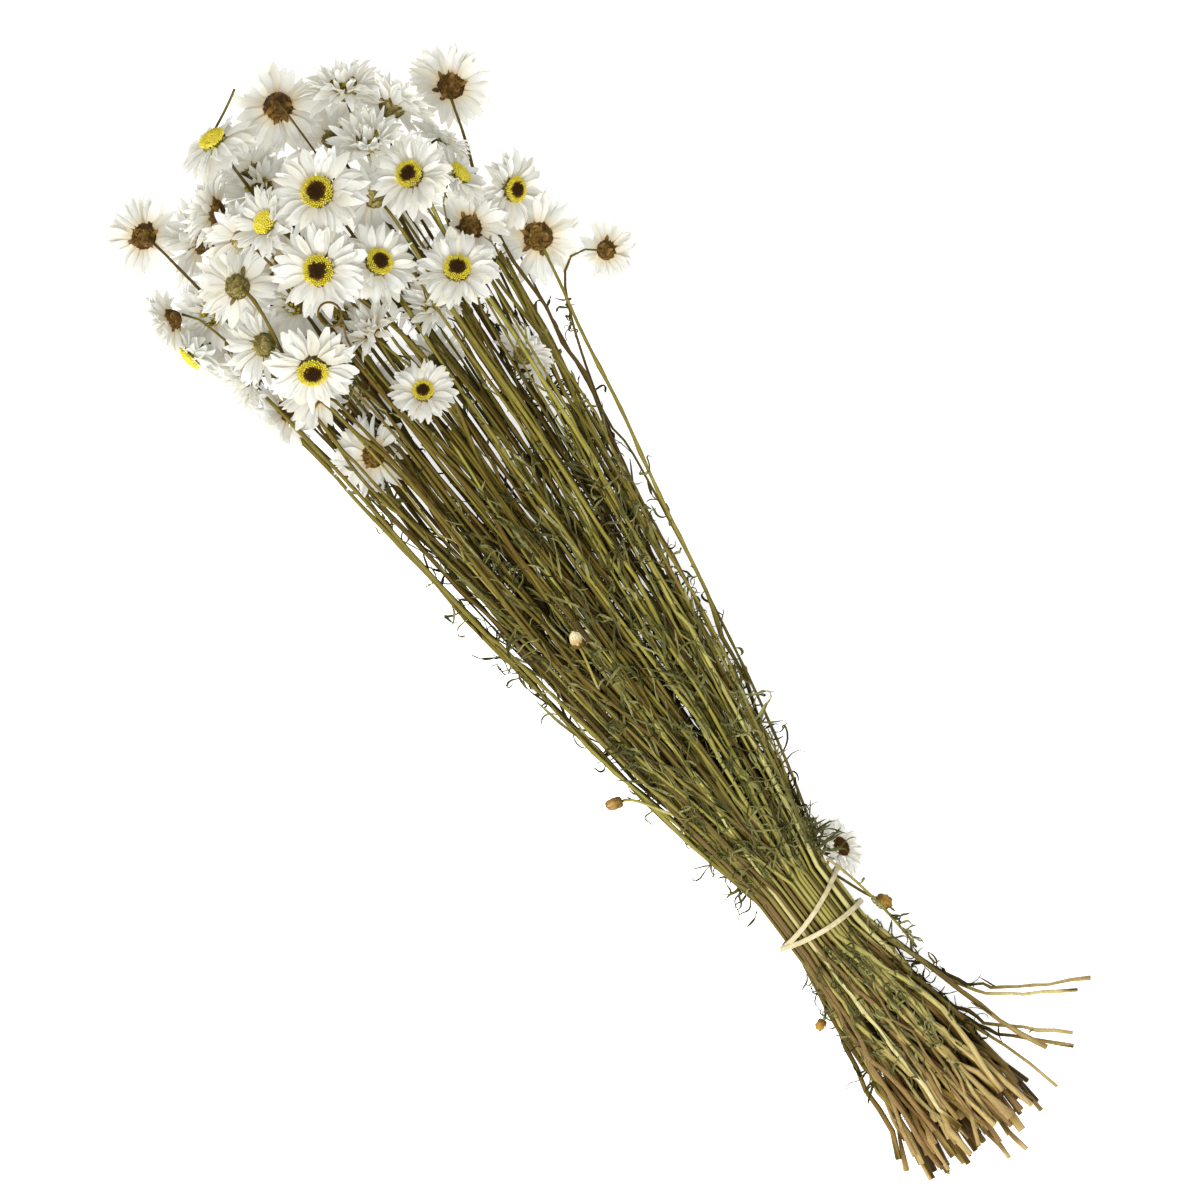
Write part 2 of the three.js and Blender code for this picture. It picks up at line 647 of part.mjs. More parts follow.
const budFoot = (bud) =>
  vec(...bud.slice(0, 3)).addScaledVector(vec(...bud.slice(3, 6)).normalize(), -2 * GAP);
const shoots = [
  ...BUDS.map((bud) => shoot(budFoot(bud), vec(...bud.slice(3, 6)).normalize(), 0.8)),
  shoot(loneBloom.foot, loneBloom.facing, 0.9),
];
const buds = BUDS.map(budSolid);
const hubs = blooms.map((bloom) =>
  bloom.ownDisc ? bloomSolid(bloom).add(discSolid(bloom)) : bloomSolid(bloom),
);

const keepClear = [band, ...buds, ...hubs];
const leaves = [];
while (leaves.length < LEAVES) {
  const blade = leaf();
  const touched = stems.filter((stem) => blade.minGap(stem, 1) < GAP);
  if (touched.length > 1) continue; // it would run through a neighbour of its own stem
  if (keepClear.every((solid) => blade.minGap(solid, 1) > GAP)) leaves.push(blade);
}
const bundle = wasm.Manifold.union([heart(), ...stems, ...shoots, ...leaves]).trimByPlane([0, 0, 1], 0);
addPiece(bunch, "stem_bundle", bundle, finish(0x77743a, 0.85));

const done = [];
const greens = [...stems, ...shoots, ...leaves];
blooms.forEach((bloom, i) => {
  const near = (solid) => {
    const { min, max } = solid.boundingBox();
    return new THREE.Box3(vec(...min), vec(...max)).distanceToPoint(bloom.middle) < bloom.radius + 2;
  };
  const others = hubs.filter((_, k) => k !== i);
  const obstacles = [...greens, ...others, ...done, ...buds, band].filter(near);
  const solid = bloomSolid(bloom, obstacles);
  done.push(solid);
  addPiece(bunch, "bloom_" + bloom.name, solid, finish(0xeeece6, 0.7));
  if (bloom.ownDisc) addPiece(bunch, "disc_" + bloom.name, discSolid(bloom), finish(0x8a6a1c, 0.9));
});
buds.forEach((bud, i) => addPiece(bunch, "bud_" + (i + 1), bud, finish(BUDS[i][7], 0.85)));

export default bunch;
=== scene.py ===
"""A tied bunch of dried everlasting daisies, lying on a pale table."""

import math

import bpy
import numpy as np
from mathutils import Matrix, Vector
from mathutils.bvhtree import BVHTree


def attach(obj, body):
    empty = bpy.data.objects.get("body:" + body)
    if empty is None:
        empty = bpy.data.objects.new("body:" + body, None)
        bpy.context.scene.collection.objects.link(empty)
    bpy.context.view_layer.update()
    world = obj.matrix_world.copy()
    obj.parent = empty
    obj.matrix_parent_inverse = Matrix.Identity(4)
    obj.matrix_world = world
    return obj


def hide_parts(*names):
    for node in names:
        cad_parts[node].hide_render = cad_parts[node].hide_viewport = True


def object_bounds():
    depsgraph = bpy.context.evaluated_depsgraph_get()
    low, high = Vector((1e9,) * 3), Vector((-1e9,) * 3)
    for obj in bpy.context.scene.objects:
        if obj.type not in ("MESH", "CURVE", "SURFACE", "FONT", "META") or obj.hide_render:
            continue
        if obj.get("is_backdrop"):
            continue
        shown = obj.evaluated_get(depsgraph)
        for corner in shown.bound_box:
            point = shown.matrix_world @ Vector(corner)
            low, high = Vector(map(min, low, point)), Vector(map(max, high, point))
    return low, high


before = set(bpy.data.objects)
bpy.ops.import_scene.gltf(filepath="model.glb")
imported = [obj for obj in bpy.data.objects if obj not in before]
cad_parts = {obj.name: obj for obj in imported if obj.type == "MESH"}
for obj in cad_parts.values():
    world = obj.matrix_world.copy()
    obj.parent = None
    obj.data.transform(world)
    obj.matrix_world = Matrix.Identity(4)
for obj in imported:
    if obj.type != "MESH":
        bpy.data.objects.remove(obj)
bpy.ops.object.select_all(action="DESELECT")
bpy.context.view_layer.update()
scene = bpy.context.scene

# Camera: it looks straight down on the bunch from high up, turned so that the flowers come to
# the upper left. The lens is very long, so heads near it look no larger than those below.
CAMERA_HEIGHT = 5.0
CAMERA_TURN = -126.87
VIEW_MIDDLE = (0.016, 0.010)
VIEW_WIDTH = 0.504  # width of the picture, at the height of the stems
STEM_LEVEL = 0.03
bpy.ops.object.camera_add(
    location=(*VIEW_MIDDLE, CAMERA_HEIGHT), rotation=(0, 0, math.radians(CAMERA_TURN))
)
camera = bpy.context.object
camera.name = "camera"
camera.data.lens = camera.data.sensor_width * (CAMERA_HEIGHT - STEM_LEVEL) / VIEW_WIDTH
scene.camera = camera

# Table and light: an opal acrylic light table, lit from below so that nothing throws a shadow on
# it, with a large soft box over it and white walls around.
TABLE_WIDTH = 8
SOFT_BOX_PLACE = Vector((-0.35, 0.45, 1.3))
SOFT_BOX_WIDTH = 1.2
SOFT_BOX_WATTS = 38


def paint(code):
    """A colour's sRGB hex code as linear light."""
    shares = [int(code[i : i + 2], 16) / 255 for i in (1, 3, 5)]
    return (*[c / 12.92 if c <= 0.04045 else ((c + 0.055) / 1.055) ** 2.4 for c in shares], 1)


def set_inputs(tree, node, inputs):
    """Sets a node's inputs: each is a value or the socket that feeds it."""
    for name, value in inputs.items():
        if isinstance(value, bpy.types.NodeSocket):
            tree.links.new(value, node.inputs[name])
        else:
            node.inputs[name].default_value = value


def add_node(tree, kind, inputs=None, ramp=None, output=0, **settings):
    """Adds a node with its settings, inputs and ramp, and gives back one of its outputs."""
    node = tree.nodes.new("ShaderNode" + kind)
    for name, value in settings.items():
        setattr(node, name, value)
    set_inputs(tree, node, inputs or {})
    if ramp:
        stops = node.color_ramp.elements
        stops[0].position, stops[1].position = ramp[0][0], ramp[-1][0]
        for place, _ in ramp[1:-1]:
            stops.new(place)
        for stop, (_, code) in zip(stops, ramp):
            stop.color = paint(code)
    return node.outputs[output]


def start_material(name):
    """A new material, its tree of nodes and its shader."""
    material = bpy.data.materials.new(name)
    material.use_nodes = True
    return material, material.node_tree, material.node_tree.nodes["Principled BSDF"]


opal, tree, shader = start_material("back_lit_opal_acrylic")
set_inputs(tree, shader, {"Base Color": paint("#F2F2F0"), "Roughness": 0.7})
set_inputs(tree, shader, {"Emission Color": paint("#FFFFFF"), "Emission Strength": 0.65})
bpy.ops.mesh.primitive_plane_add(size=TABLE_WIDTH)
table = bpy.context.object
table.name = "table"
table.data.materials.append(opal)
table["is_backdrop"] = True

bpy.ops.object.light_add(type="AREA", location=SOFT_BOX_PLACE)
soft_box = bpy.context.object
soft_box.name = "soft_box"
soft_box.data.size = SOFT_BOX_WIDTH
soft_box.data.energy = SOFT_BOX_WATTS
soft_box.rotation_euler = SOFT_BOX_PLACE.to_track_quat("Z", "Y").to_euler()

walls = bpy.data.worlds.new("white_walls")
walls.use_nodes = True
white_wall = {"Color": paint("#FFFFFF"), "Strength": 0.5}
set_inputs(walls.node_tree, walls.node_tree.nodes["Background"], white_wall)
scene.world = walls
scene.view_settings.view_transform = "Standard"

# Flower heads: where each sits in the crowd, which way it faces and how it looks. Places are in
# millimetres from the middle of the tie, at the table; the stems below need them, so they come
# first. A look is named for what shows of the head: its face, or the papery cup behind it.
TIE = Vector((-142, 17, 0))
FLOWERS = [
    # place, way it faces, radius, degrees that its petals are closed (below 0 bent back), look
    (364, -15, 72, 0.25, 0.1, 0.95, 21, 0, "face"),
    (338, 4, 73, 0.05, 0.2, 0.97, 20, 0, "face"),
    (326, -17, 66, 0, -0.5, 0.85, 18, 4, "face"),
    (304, -42, 60, 0.3, -0.25, 0.92, 18, 0, "face"),
    (347, -50, 65, 0.4, 0.1, 0.9, 18, 0, "face"),
    (307, 31, 67, -0.5, 0.35, 0.8, 20, -4, "face"),
    (272, 0, 48, 0.3, -0.2, 0.9, 14, 4, "face"),
    (318, -81, 34, -0.45, -0.5, 0.75, 17, 0, "face"),
    (408, 7, 50, 0.85, 0, 0.5, 18, -26, "golden face"),
    (396, 55, 22, 0.4, 0.2, -0.9, 18, 8, "brown cup"),
    (404, -23, 40, -0.3, 0.15, -0.95, 20, 6, "brown cup"),
    (369, -87, 20, 0.3, -0.35, -0.88, 19, 6, "brown cup"),
    (296, -78, 24, 0.25, -0.1, -0.95, 20, 6, "tan cup"),
    (274, -98, 15, -0.25, -0.4, -0.88, 14, 10, "tan cup"),
    (354, 36, 54, 0.3, 0.25, -0.92, 18, 4, "olive cup"),
    (350, -33, 56, 0.8, 0.1, -0.58, 17, -18, "olive cup"),
    (370, 22, 56, 0.75, 0.2, -0.55, 17, 10, "olive cup"),
    (386, 25, 42, 0.6, 0.5, -0.3, 16, 10, "tan cup"),
    (394, -50, 46, 0.7, -0.35, 0.35, 18, 0, "olive cup"),
    (376, -62, 44, 0.45, -0.8, -0.3, 18, 0, "olive cup"),
    (369, -44, 58, 0.6, -0.3, 0.65, 17, 24, "olive cup"),
    (360, 67, 36, 0.15, 0.9, -0.35, 15, 0, "brown cup"),
    (343, 68, 26, -0.1, 0.95, 0.1, 18, -20, "golden face"),
    (300, 52, 34, 0.1, 0.85, -0.45, 16, 0, "brown cup"),
    (299, 36, 44, 0.35, 0.4, -0.85, 16, 8, "tan cup"),
    (328, 42, 48, 0.3, 0.5, -0.8, 17, 4, "olive cup"),
    (367, 10, 66, 0.55, 0.35, 0.75, 16, 16, "golden face"),
    (306, 3, 52, 0.75, 0.15, 0.4, 15, 10, "brown cup"),
    (264, 33, 34, 0.35, 0.3, -0.85, 17, 6, "brown cup"),
    (336, -66, 48, 0.1, -0.9, 0.4, 16, 0, "golden face"),
    (352, -70, 32, 0.35, -0.85, -0.1, 15, 0, "golden face"),
    (316, -58, 40, 0.1, -0.4, -0.9, 16, 4, "tan cup"),
    (260, -44, 30, 0.2, -0.85, -0.35, 15, 0, "olive cup"),
    (299, -26, 44, 0.6, 0.1, 0.6, 16, 10, "olive cup"),
    (320, 56, 26, 0.2, 0.85, 0.3, 16, 6, "olive cup"),
    (14, -25, 14, -0.1, -0.8, 0.55, 13, 10, "face"),
    (392, 2, 26, 0.95, 0, -0.2, 16, 10, "olive cup"),
    (380, 38, 18, 0.7, 0.6, -0.3, 16, 6, "brown cup"),
    (382, -34, 16, 0.75, -0.2, -0.6, 16, 6, "olive cup"),
    (350, 14, 14, 0.25, 0.1, -0.95, 17, 4, "tan cup"),
    (348, -40, 14, 0.2, -0.2, -0.95, 17, 4, "olive cup"),
    (314, 22, 14, 0.1, 0.1, -0.98, 16, 4, "brown cup"),
    (312, -24, 14, 0.1, -0.1, -0.98, 16, 4, "olive cup"),
    (336, 52, 10, 0.2, 0.6, -0.7, 15, 10, "tan cup"),
    (280, -12, 22, 0.5, -0.1, -0.8, 14, 8, "olive cup"),
]
UNDER_HEADS = [  # loose heads that fill the crowd from below
    (381, 4, 28, 0.3, 0.1, 0.9, 18, 0, "olive cup"),
    (288, 17, 20, 0.2, 0.2, -0.9, 15, 4, "tan cup"),
    (330, -8, 24, 0.3, 0.1, 0.9, 19, 0, "olive cup"),
    (352, 52, 24, 0.3, 0.4, 0.8, 16, 0, "olive cup"),
    (334, 20, 38, 0.25, 0.1, 0.95, 17, 0, "olive cup"),
    (319, 9, 34, 0.1, 0.1, 0.98, 15, 0, "tan cup"),
]
USUAL_RADIUS = 19  # of the head that the sizes below belong to
CUP_RADIUS = 6.4
CUP_DEPTH = 7
HEAD_FRONT = 3  # height of the florets over the head's middle
CLEARANCE = 0.3


class Flower:
    """One head: its place, the way it faces and its size against the usual one."""

    def __init__(self, number, row):
        self.number = f"{number:02d}"
        self.middle = np.array(row[:3], float)
        self.facing = np.array(row[3:6]) / np.linalg.norm(row[3:6])
        self.radius, self.closed, self.look = row[6:]
        self.size = self.radius / USUAL_RADIUS
        self.foot = self.middle - self.facing * (CUP_DEPTH * self.size + 2 * CLEARANCE)
        self.front = self.middle + self.facing * HEAD_FRONT * self.size
        helper = np.array([0, 0, 1] if abs(self.facing[2]) < 0.9 else [1, 0, 0], float)
        self.east = np.cross(helper, self.facing)
        self.east /= np.linalg.norm(self.east)
        self.north = np.cross(self.facing, self.east)

    def spoke(self, turn):
        """The way out from the middle at a turn about the facing."""
        return self.east * math.cos(turn) + self.north * math.sin(turn)

    def raised(self, turn, degrees):
        """The way out at a turn, raised towards the facing, and the way that looks up from it."""
        spoke = self.spoke(turn)
        lean = math.radians(degrees)
        ahead = spoke * math.cos(lean) + self.facing * math.sin(lean)
        return ahead, self.facing * math.cos(lean) - spoke * math.sin(lean)

    def at(self, turn, distance, height):
        """A point of the head; distance and height are those of the usual one."""
        out = self.spoke(turn) * distance + self.facing * height
        return self.middle + out * self.size


flowers = [Flower(i + 1, row) for i, row in enumerate(FLOWERS)]
under_heads = [Flower(len(flowers) + i + 1, row) for i, row in enumerate(UNDER_HEADS)]
heads = flowers + under_heads
lone_flower = next(flower for flower in flowers if flower.middle[0] < 100)
crowd = [flower for flower in flowers if flower is not lone_flower]

# Stems: about 160 dry, wiry stems of one to three millimetres, straw-coloured where they were
# cut and olive towards the flowers. The band pulls them together; from there they fan out, bend
# round the heads in their way and carry one head each, or broke off and end under the heads.
TIE_HEIGHT = 20
TIE_HALF_WIDTH = 18
TIE_HALF_HEIGHT = 14
TIE_HALF_LENGTH = 14  # the stems run straight this far to each side of the tie
STEM_CORNER = 1.35
STEMS_TO_A_RING = 6.2  # in the first ring round the middle one, twice as many in the next, and so on
CROWD_MIDDLE = (-5, 42)
CROWD_HALF = (75, 38)
BUTT_REACH = (104, 128)  # how far behind the tie the stems are cut
BUTT_SPREAD = (30, 24)
LOWEST_CUT = 0.35
STRAY_CUTS = [
    (-94, -77, 0.6),
    (-94.5, -69.5, 7),
    (-112.5, -54, 5),
    (-107.5, -57, 12),
    (-135, -12, 16),
    (-133, -4, 24),
]
HOOKED_STALK = "14"  # it doubles back to its head
HOOK_HEADING = (44, 40, 4)
BROKEN_STEMS = 8
FAN_STEPS = 44
BACK_STEPS = 10
HEAD_ROOM = 2.8  # from a cup to the middle of a stem that passes it
BEND_SPREAD = 7  # points of a stem to each side that bend with the one a head pushes
LOWEST_STEM = 1.4

series = 20417


def draw(low, high):
    """The next number of a fixed series, between two limits."""
    global series
    series = series * 16807 % 2147483647
    return low + (high - low) * series / 2147483647


def tie_slots(targets):
    """A place in the tie for each stem, in rings: heads further out have stems further out."""
    polar = []
    for i, (_, y, z) in enumerate(targets):
        u, v = (y - CROWD_MIDDLE[0]) / CROWD_HALF[0], (z - CROWD_MIDDLE[1]) / CROWD_HALF[1]
        polar.append((math.hypot(u, v), math.atan2(v, u), i))
    polar.sort()
    slots = [None] * len(targets)
    start = ring = 0
    while start < len(polar):
        count = round(STEMS_TO_A_RING * ring) or 1
        members = sorted(polar[start : start + count], key=lambda member: member[1])
        for k, (_, _, i) in enumerate(members):
            turn = 2 * math.pi * (k + 0.5) / len(members) - math.pi
            slots[i] = (ring * math.cos(turn), ring * math.sin(turn))
        start += len(members)
        ring += 1
    wide, high = [(half - STEM_CORNER) / (ring - 1) for half in (TIE_HALF_WIDTH, TIE_HALF_HEIGHT)]
    return [(u * wide, v * high) for u, v in slots]


def bezier(points, steps, spaced):
    """Points along a curve, at even lengths if spaced."""
    t = np.linspace(0, 1, 200 if spaced else steps + 1)[:, None]
    n = len(points) - 1
    curve = sum(math.comb(n, k) * (1 - t) ** (n - k) * t**k * p for k, p in enumerate(points))
    if not spaced:
        return curve
    reach = np.append(0, np.cumsum(np.linalg.norm(np.diff(curve, axis=0), axis=1)))
    wanted = np.linspace(0, reach[-1], steps + 1)
    return np.stack([np.interp(wanted, reach, curve[:, k]) for k in range(3)], axis=1)


hub_feet = np.array([flower.foot for flower in flowers])
hub_axes = np.array([flower.front for flower in flowers]) - hub_feet
hub_room = np.array([CUP_RADIUS * flower.size + HEAD_ROOM for flower in flowers])


def clear_of_heads(route, own):
    """Pushes a route out of every head but its own, with a soft bend to both sides."""
    for _ in range(60):
        moved = False
        for k in range(2, len(route) - 3):
            tried = 0
            while True:
                from_foot = route[k] - hub_feet
                share = np.clip((from_foot * hub_axes).sum(1) / (hub_axes**2).sum(1), 0, 1)
                away = from_foot - hub_axes * share[:, None]
                far = np.linalg.norm(away, axis=1)
                near = [i for i in np.flatnonzero(far < hub_room) if i >= tried and flowers[i] is not own]
                if not near:
                    break
                i = near[0]
                tried = i + 1
                moved = True
                push = away[i] / far[i] * (hub_room[i] - far[i] + 0.1)
                for m in range(max(0, k - BEND_SPREAD), min(len(route), k + BEND_SPREAD)):
                    fade = min(1, m / BEND_SPREAD, (len(route) - 1 - m) / 4)
                    route[m] += push * fade * (0.5 + 0.5 * math.cos(math.pi * (m - k) / BEND_SPREAD))
        route[:, 2] = np.maximum(route[:, 2], LOWEST_STEM)
        if not moved:
            break
    return route


def stem_route(slot, flower, tip, stray, pick):
    """The way of one stem from its cut end through the tie to its head or its broken tip."""
    out = np.array([TIE_HALF_LENGTH, slot[0], TIE_HEIGHT + slot[1]])
    into = out * (-1, 1, 1)
    end = flower.foot if flower else np.array(tip, float)
    reach = end - out
    early = out + reach * (0.33, pick(0.48, 0.66), 0.15)
    late = end - reach * 0.25
    if flower:
        late = end - flower.facing * (14 + 8 * (flower.facing[2] + 1))
        if flower.number == HOOKED_STALK:
            late = end + HOOK_HEADING
    turn = math.atan2(slot[1], slot[0]) + math.radians(pick(10, 50))
    far = math.hypot(slot[0] / TIE_HALF_WIDTH, slot[1] / TIE_HALF_HEIGHT)
    if stray is None:
        back = -pick(*BUTT_REACH)
        aside = BUTT_SPREAD[0] * far * math.cos(turn) - 2 + pick(-3, 3)
        up = max(LOWEST_CUT, TIE_HEIGHT + BUTT_SPREAD[1] * far * math.sin(turn))
        cut = np.array([back, aside, up])
    else:
        cut = np.array(stray, float)
    knee = np.array([-50, 0.3 * cut[1] + 0.7 * into[1], 0.6 * cut[2] + 0.4 * into[2]])
    back = bezier([cut, knee, into], BACK_STEPS, False)
    if stray is not None:
        knee = into + (cut - into) * (0.68, 0.24, 0.5)
        back = bezier([cut, knee, knee, into], BACK_STEPS + 6, False)
    fan = bezier([out, early, late, end], FAN_STEPS, True)
    return np.concatenate([back, clear_of_heads(fan, flower)])


broken_tips = [(draw(90, 250), draw(-50, 22), draw(14, 46)) for _ in range(BROKEN_STEMS)]
slots = tie_slots([flower.middle for flower in crowd] + broken_tips)
stray_cut_of = {}
for cut in STRAY_CUTS:
    free = [i for i in range(len(slots)) if i not in stray_cut_of]
    offset = (cut[1] / 3, (cut[2] - TIE_HEIGHT) / 3)
    nearest = min(free, key=lambda i: math.hypot(slots[i][0] - offset[0], slots[i][1] - offset[1]))
    stray_cut_of[nearest] = cut

routes = []
for i, slot in enumerate(slots):
    flower = crowd[i] if i < len(crowd) else None
    tip = None if flower else broken_tips[i - len(crowd)]
    routes.append(stem_route(slot, flower, tip, stray_cut_of.get(i), draw))
main_routes = len(routes)

# The stems that fill the gaps carry heads that fell off, or end under the others. Half of them
# go where the widest gap is, the others cross the bunch.
FILLING_STEMS = 108
FILLED_HALF = (16.2, 12.2)  # half the width and height of the tie that they fill
GAP_LINE = 205  # where a gap between the stems is looked for
chance = np.random.default_rng(31)
taken = list(slots)
crossings = [np.interp(GAP_LINE, route[:, 0], route[:, 1]) for route in routes if route[-1][0] > GAP_LINE]
for i in range(FILLING_STEMS):
    into_gap = i % 2
    tries = []
    for _ in range(30):
        turn, far = chance.uniform(0, 2 * math.pi), math.sqrt(chance.uniform(0, 1))
        tries.append((FILLED_HALF[0] * far * math.cos(turn), FILLED_HALF[1] * far * math.sin(turn)))
    slot = max(tries, key=lambda place: min(math.dist(place, other) for other in taken))
    taken.append(slot)
    reach = chance.uniform(225, 350)
    asides = []
    for _ in range(9 if into_gap else 1):
        aside = slot[0] / FILLED_HALF[0] * 58 - 3 + chance.normal(0, 14 if into_gap else 24)
        asides.append(float(np.clip(aside, -62, 54)))
    reach = max(reach, 245 + 1.3 * abs(asides[0]))
    share = (GAP_LINE - TIE_HALF_LENGTH) / (reach - TIE_HALF_LENGTH)
    at_line = [slot[0] + (aside - slot[0]) * share for aside in asides]
    best = int(np.argmax([min(abs(y - crossing) for crossing in crossings) for y in at_line]))
    crossings.append(at_line[best])
    up = max(4, 27 + slot[1] / FILLED_HALF[1] * 24 + chance.uniform(-6, 6))
    routes.append(stem_route(slot, None, (reach, asides[best], up), None, chance.uniform))


def side_shoot(end, facing):
    """A short shoot from the nearest stem to a point, arriving along a direction."""
    x = end[0] - 20 * math.copysign(1, facing[0])
    starts = []
    for route in routes[:main_routes]:
        if route[:, 0].max() > x:
            k = np.argmax(route[:, 0] >= x)
            share = (x - route[k - 1][0]) / (route[k][0] - route[k - 1][0])
            starts.append(route[k - 1] + (route[k] - route[k - 1]) * share)
    start = min(starts, key=lambda point: np.linalg.norm(point - end))
    return bezier([start, start + (end - start) * 0.4, end - facing * 6, end], 12, False)


BUDS = [
    # place, way its shoot arrives, length
    ((148, 12, 47), (0.3, 0.1, 0.9), 8),
    ((85, 37, 26), (0.2, 0.9, 0.3), 7),
    ((-13, -25, 11), (-0.8, -0.5, -0.1), 7),
    ((-40, 24, 18), (-0.4, 0.9, 0.1), 5),
]
shoots = []
for place, way, _ in BUDS:
    way = np.array(way) / np.linalg.norm(way)
    shoots.append(side_shoot(np.array(place, float) - way * 2 * CLEARANCE, way))
shoots.append(side_shoot(lone_flower.foot, lone_flower.facing))


def stem_thickness(route, flower, lean):
    """Radius at each point: thick and woody at the cut end, wiry under the head."""
    radius = np.interp(route[:, 0], [-128, -100, -20, 60, 200], [1.3, 1.1, 0.96, 0.86, 0.78])
    if flower:
        near = 1 - np.minimum(1, np.linalg.norm(route - flower.foot, axis=1) / 60)
        radius = radius + (0.6 - radius) * near
    joints = chance.random(len(route)) < 0.2
    radius[:2] *= chance.uniform(0.9, 1.25)
    return radius * lean * np.where(joints, 1.3, 1) * chance.uniform(0.86, 1.08, len(route))


# No stem is quite straight: each sways a little, bends at its joints and, behind the band, bows
# and ends where it likes.
JOINTS = 7
strands = []
for i, route in enumerate(routes):
    flower = crowd[i] if i < len(crowd) else None
    lean = float(np.clip(math.exp(chance.normal(-0.12, 0.24)), 0.6, 1.22 if i < main_routes else 1.08))
    is_stray = i in stray_cut_of
    if is_stray:
        lean = 0.7
        route[1:11, 1:] += chance.normal(0, 0.7, (10, 2))
    steps = np.arange(len(route))
    to_tip = len(route) - 1 - steps
    past_tie = route[:, 0] - TIE_HALF_LENGTH
    sway = np.clip(past_tie / 60, 0, 1) * chance.uniform(0.3, 1.1)
    sway *= np.clip(to_tip / 6, 0, 1)
    wave = chance.uniform(1.6, 4.5)
    route[:, 1] += sway * np.sin(steps / wave + chance.uniform(0, 6))
    route[:, 2] += sway * np.sin(steps / wave + chance.uniform(0, 6)) * 0.6
    joints = np.append(np.sort(chance.choice(np.arange(14, 52), JOINTS, replace=False)), len(route) - 1)
    bends = np.append(chance.normal(0, 1.1, (JOINTS, 2)), [[0, 0]], axis=0)
    free = np.clip(past_tie / 40, 0, 1) * np.clip(to_tip / 5, 0, 1)
    route[:, 1] += free * np.interp(steps, joints, bends[:, 0])
    route[:, 2] += free * np.interp(steps, joints, bends[:, 1]) * 0.6
    behind = np.clip((-TIE_HALF_LENGTH - route[:, 0]) / 100, 0, 1) * (not is_stray)
    bow = np.sin(np.minimum(1, behind) * math.pi)
    route[:, 1] += bow * chance.normal(0, 4.0) + behind**3 * chance.normal(0, 7)
    route[:, 2] += bow * chance.normal(0, 2.0) + behind**3 * chance.normal(0, 3)
    route[:, 1:] += np.minimum(1, 4 * behind)[:, None] * chance.normal(0, 0.8, (len(route), 2))
    route[:, 0] += behind**2 * chance.uniform(-2, 10)
    strands.append((route, stem_thickness(route, flower, lean)))

# A leafy shoot hangs back over the band, past the one head that sits there. A dried tendril
# rises out of the crowd and coils above it, and a broken stalk sticks out at the far end.
HANGING_WAY = [(14, -18, 27), (4, -21.8, 28), (-8, -23.6, 26), (-18, -25, 23), (-28, -26, 19), (-39, -26, 15)]
TENDRIL_RISE = [(298, 13, 46), (303, 13, 56), (309, 12, 66), (314, 9.5, 74)]
COIL_MIDDLE = (320.5, 11.6, 77.5)
COIL_HALF = (5.2, 4.7)
STALK_WAY = [(406, 14, 40), (414, 4, 42), (413, 0, 45), (421, -13, 46)]
hanging = bezier(HANGING_WAY, 24, True)
coil = []
for t in np.linspace(-0.6, 5.6, 22):
    across = COIL_MIDDLE[0] - COIL_HALF[0] * math.cos(t)
    coil.append((across, COIL_MIDDLE[1] - COIL_HALF[1] * math.sin(t), COIL_MIDDLE[2] + 0.3 * t))
wires = [(route, 0.6) for route in shoots]
wires += [(hanging, 0.55), (np.array(TENDRIL_RISE + coil), 0.5), (bezier(STALK_WAY, 12, True), 0.55)]
strands += [(route, np.full(len(route), radius)) for route, radius in wires]

curve = bpy.data.curves.new("stems", "CURVE")
curve.dimensions = "3D"
curve.bevel_depth = 0.001
curve.bevel_resolution = 1
curve.use_fill_caps = True
for route, radii in strands:
    spline = curve.splines.new("POLY")
    spline.points.add(len(route) - 1)
    for point, place, radius in zip(spline.points, route, radii):
        low = max(place[2], radius * 0.9 + 0.05)
        point.co = (*((TIE + Vector((place[0], place[1], low))) * 0.001), 1)
        point.radius = radius
stems = bpy.data.objects.new("stems", curve)
scene.collection.objects.link(stems)
bpy.ops.object.select_all(action="DESELECT")
bpy.context.view_layer.objects.active = stems
stems.select_set(True)
bpy.ops.object.convert(target="MESH")
stems = bpy.context.object
stems.name = stems.data.name = "stems"
stems.data.shade_smooth()


def mark(mesh, name, values):
    """Keeps a number for each point of a mesh, for its material to read."""
    attribute = mesh.attributes.new(name, "FLOAT", "POINT")
    attribute.data.foreach_set("value", np.asarray(values, np.float32))


# The stems' sides and levels at even steps along the bunch tell how deep a place lies, for the
# painted shade deep in the bunch.
LEVEL_START = -130
LEVEL_STEP = 5
LEVELS_AT = np.arange(LEVEL_START, 340, LEVEL_STEP)
DEEPEST = 30
DEPTH_COUNTS = ([-130, -60, 0, 70, 110, 240], [0.6, 1.3, 1.8, 1.7, 1.2, 0.36])
sides = np.array([np.interp(LEVELS_AT, route[:, 0], route[:, 1]) for route in routes])
levels = np.array([np.interp(LEVELS_AT, route[:, 0], route[:, 2], -99, -99) for route in routes])


def buried(points):
    """Millimetres under the topmost stems around each point; they count most near the band."""
    steps = np.round((points[:, 0] - LEVEL_START) / LEVEL_STEP).astype(int)
    at = np.clip(steps, 0, len(LEVELS_AT) - 1)
    tops = (levels[:, at] - abs(sides[:, at] - points[:, 1])).max(axis=0)
    return np.clip(tops - points[:, 2], 0, DEEPEST) * np.interp(points[:, 0], *DEPTH_COUNTS)


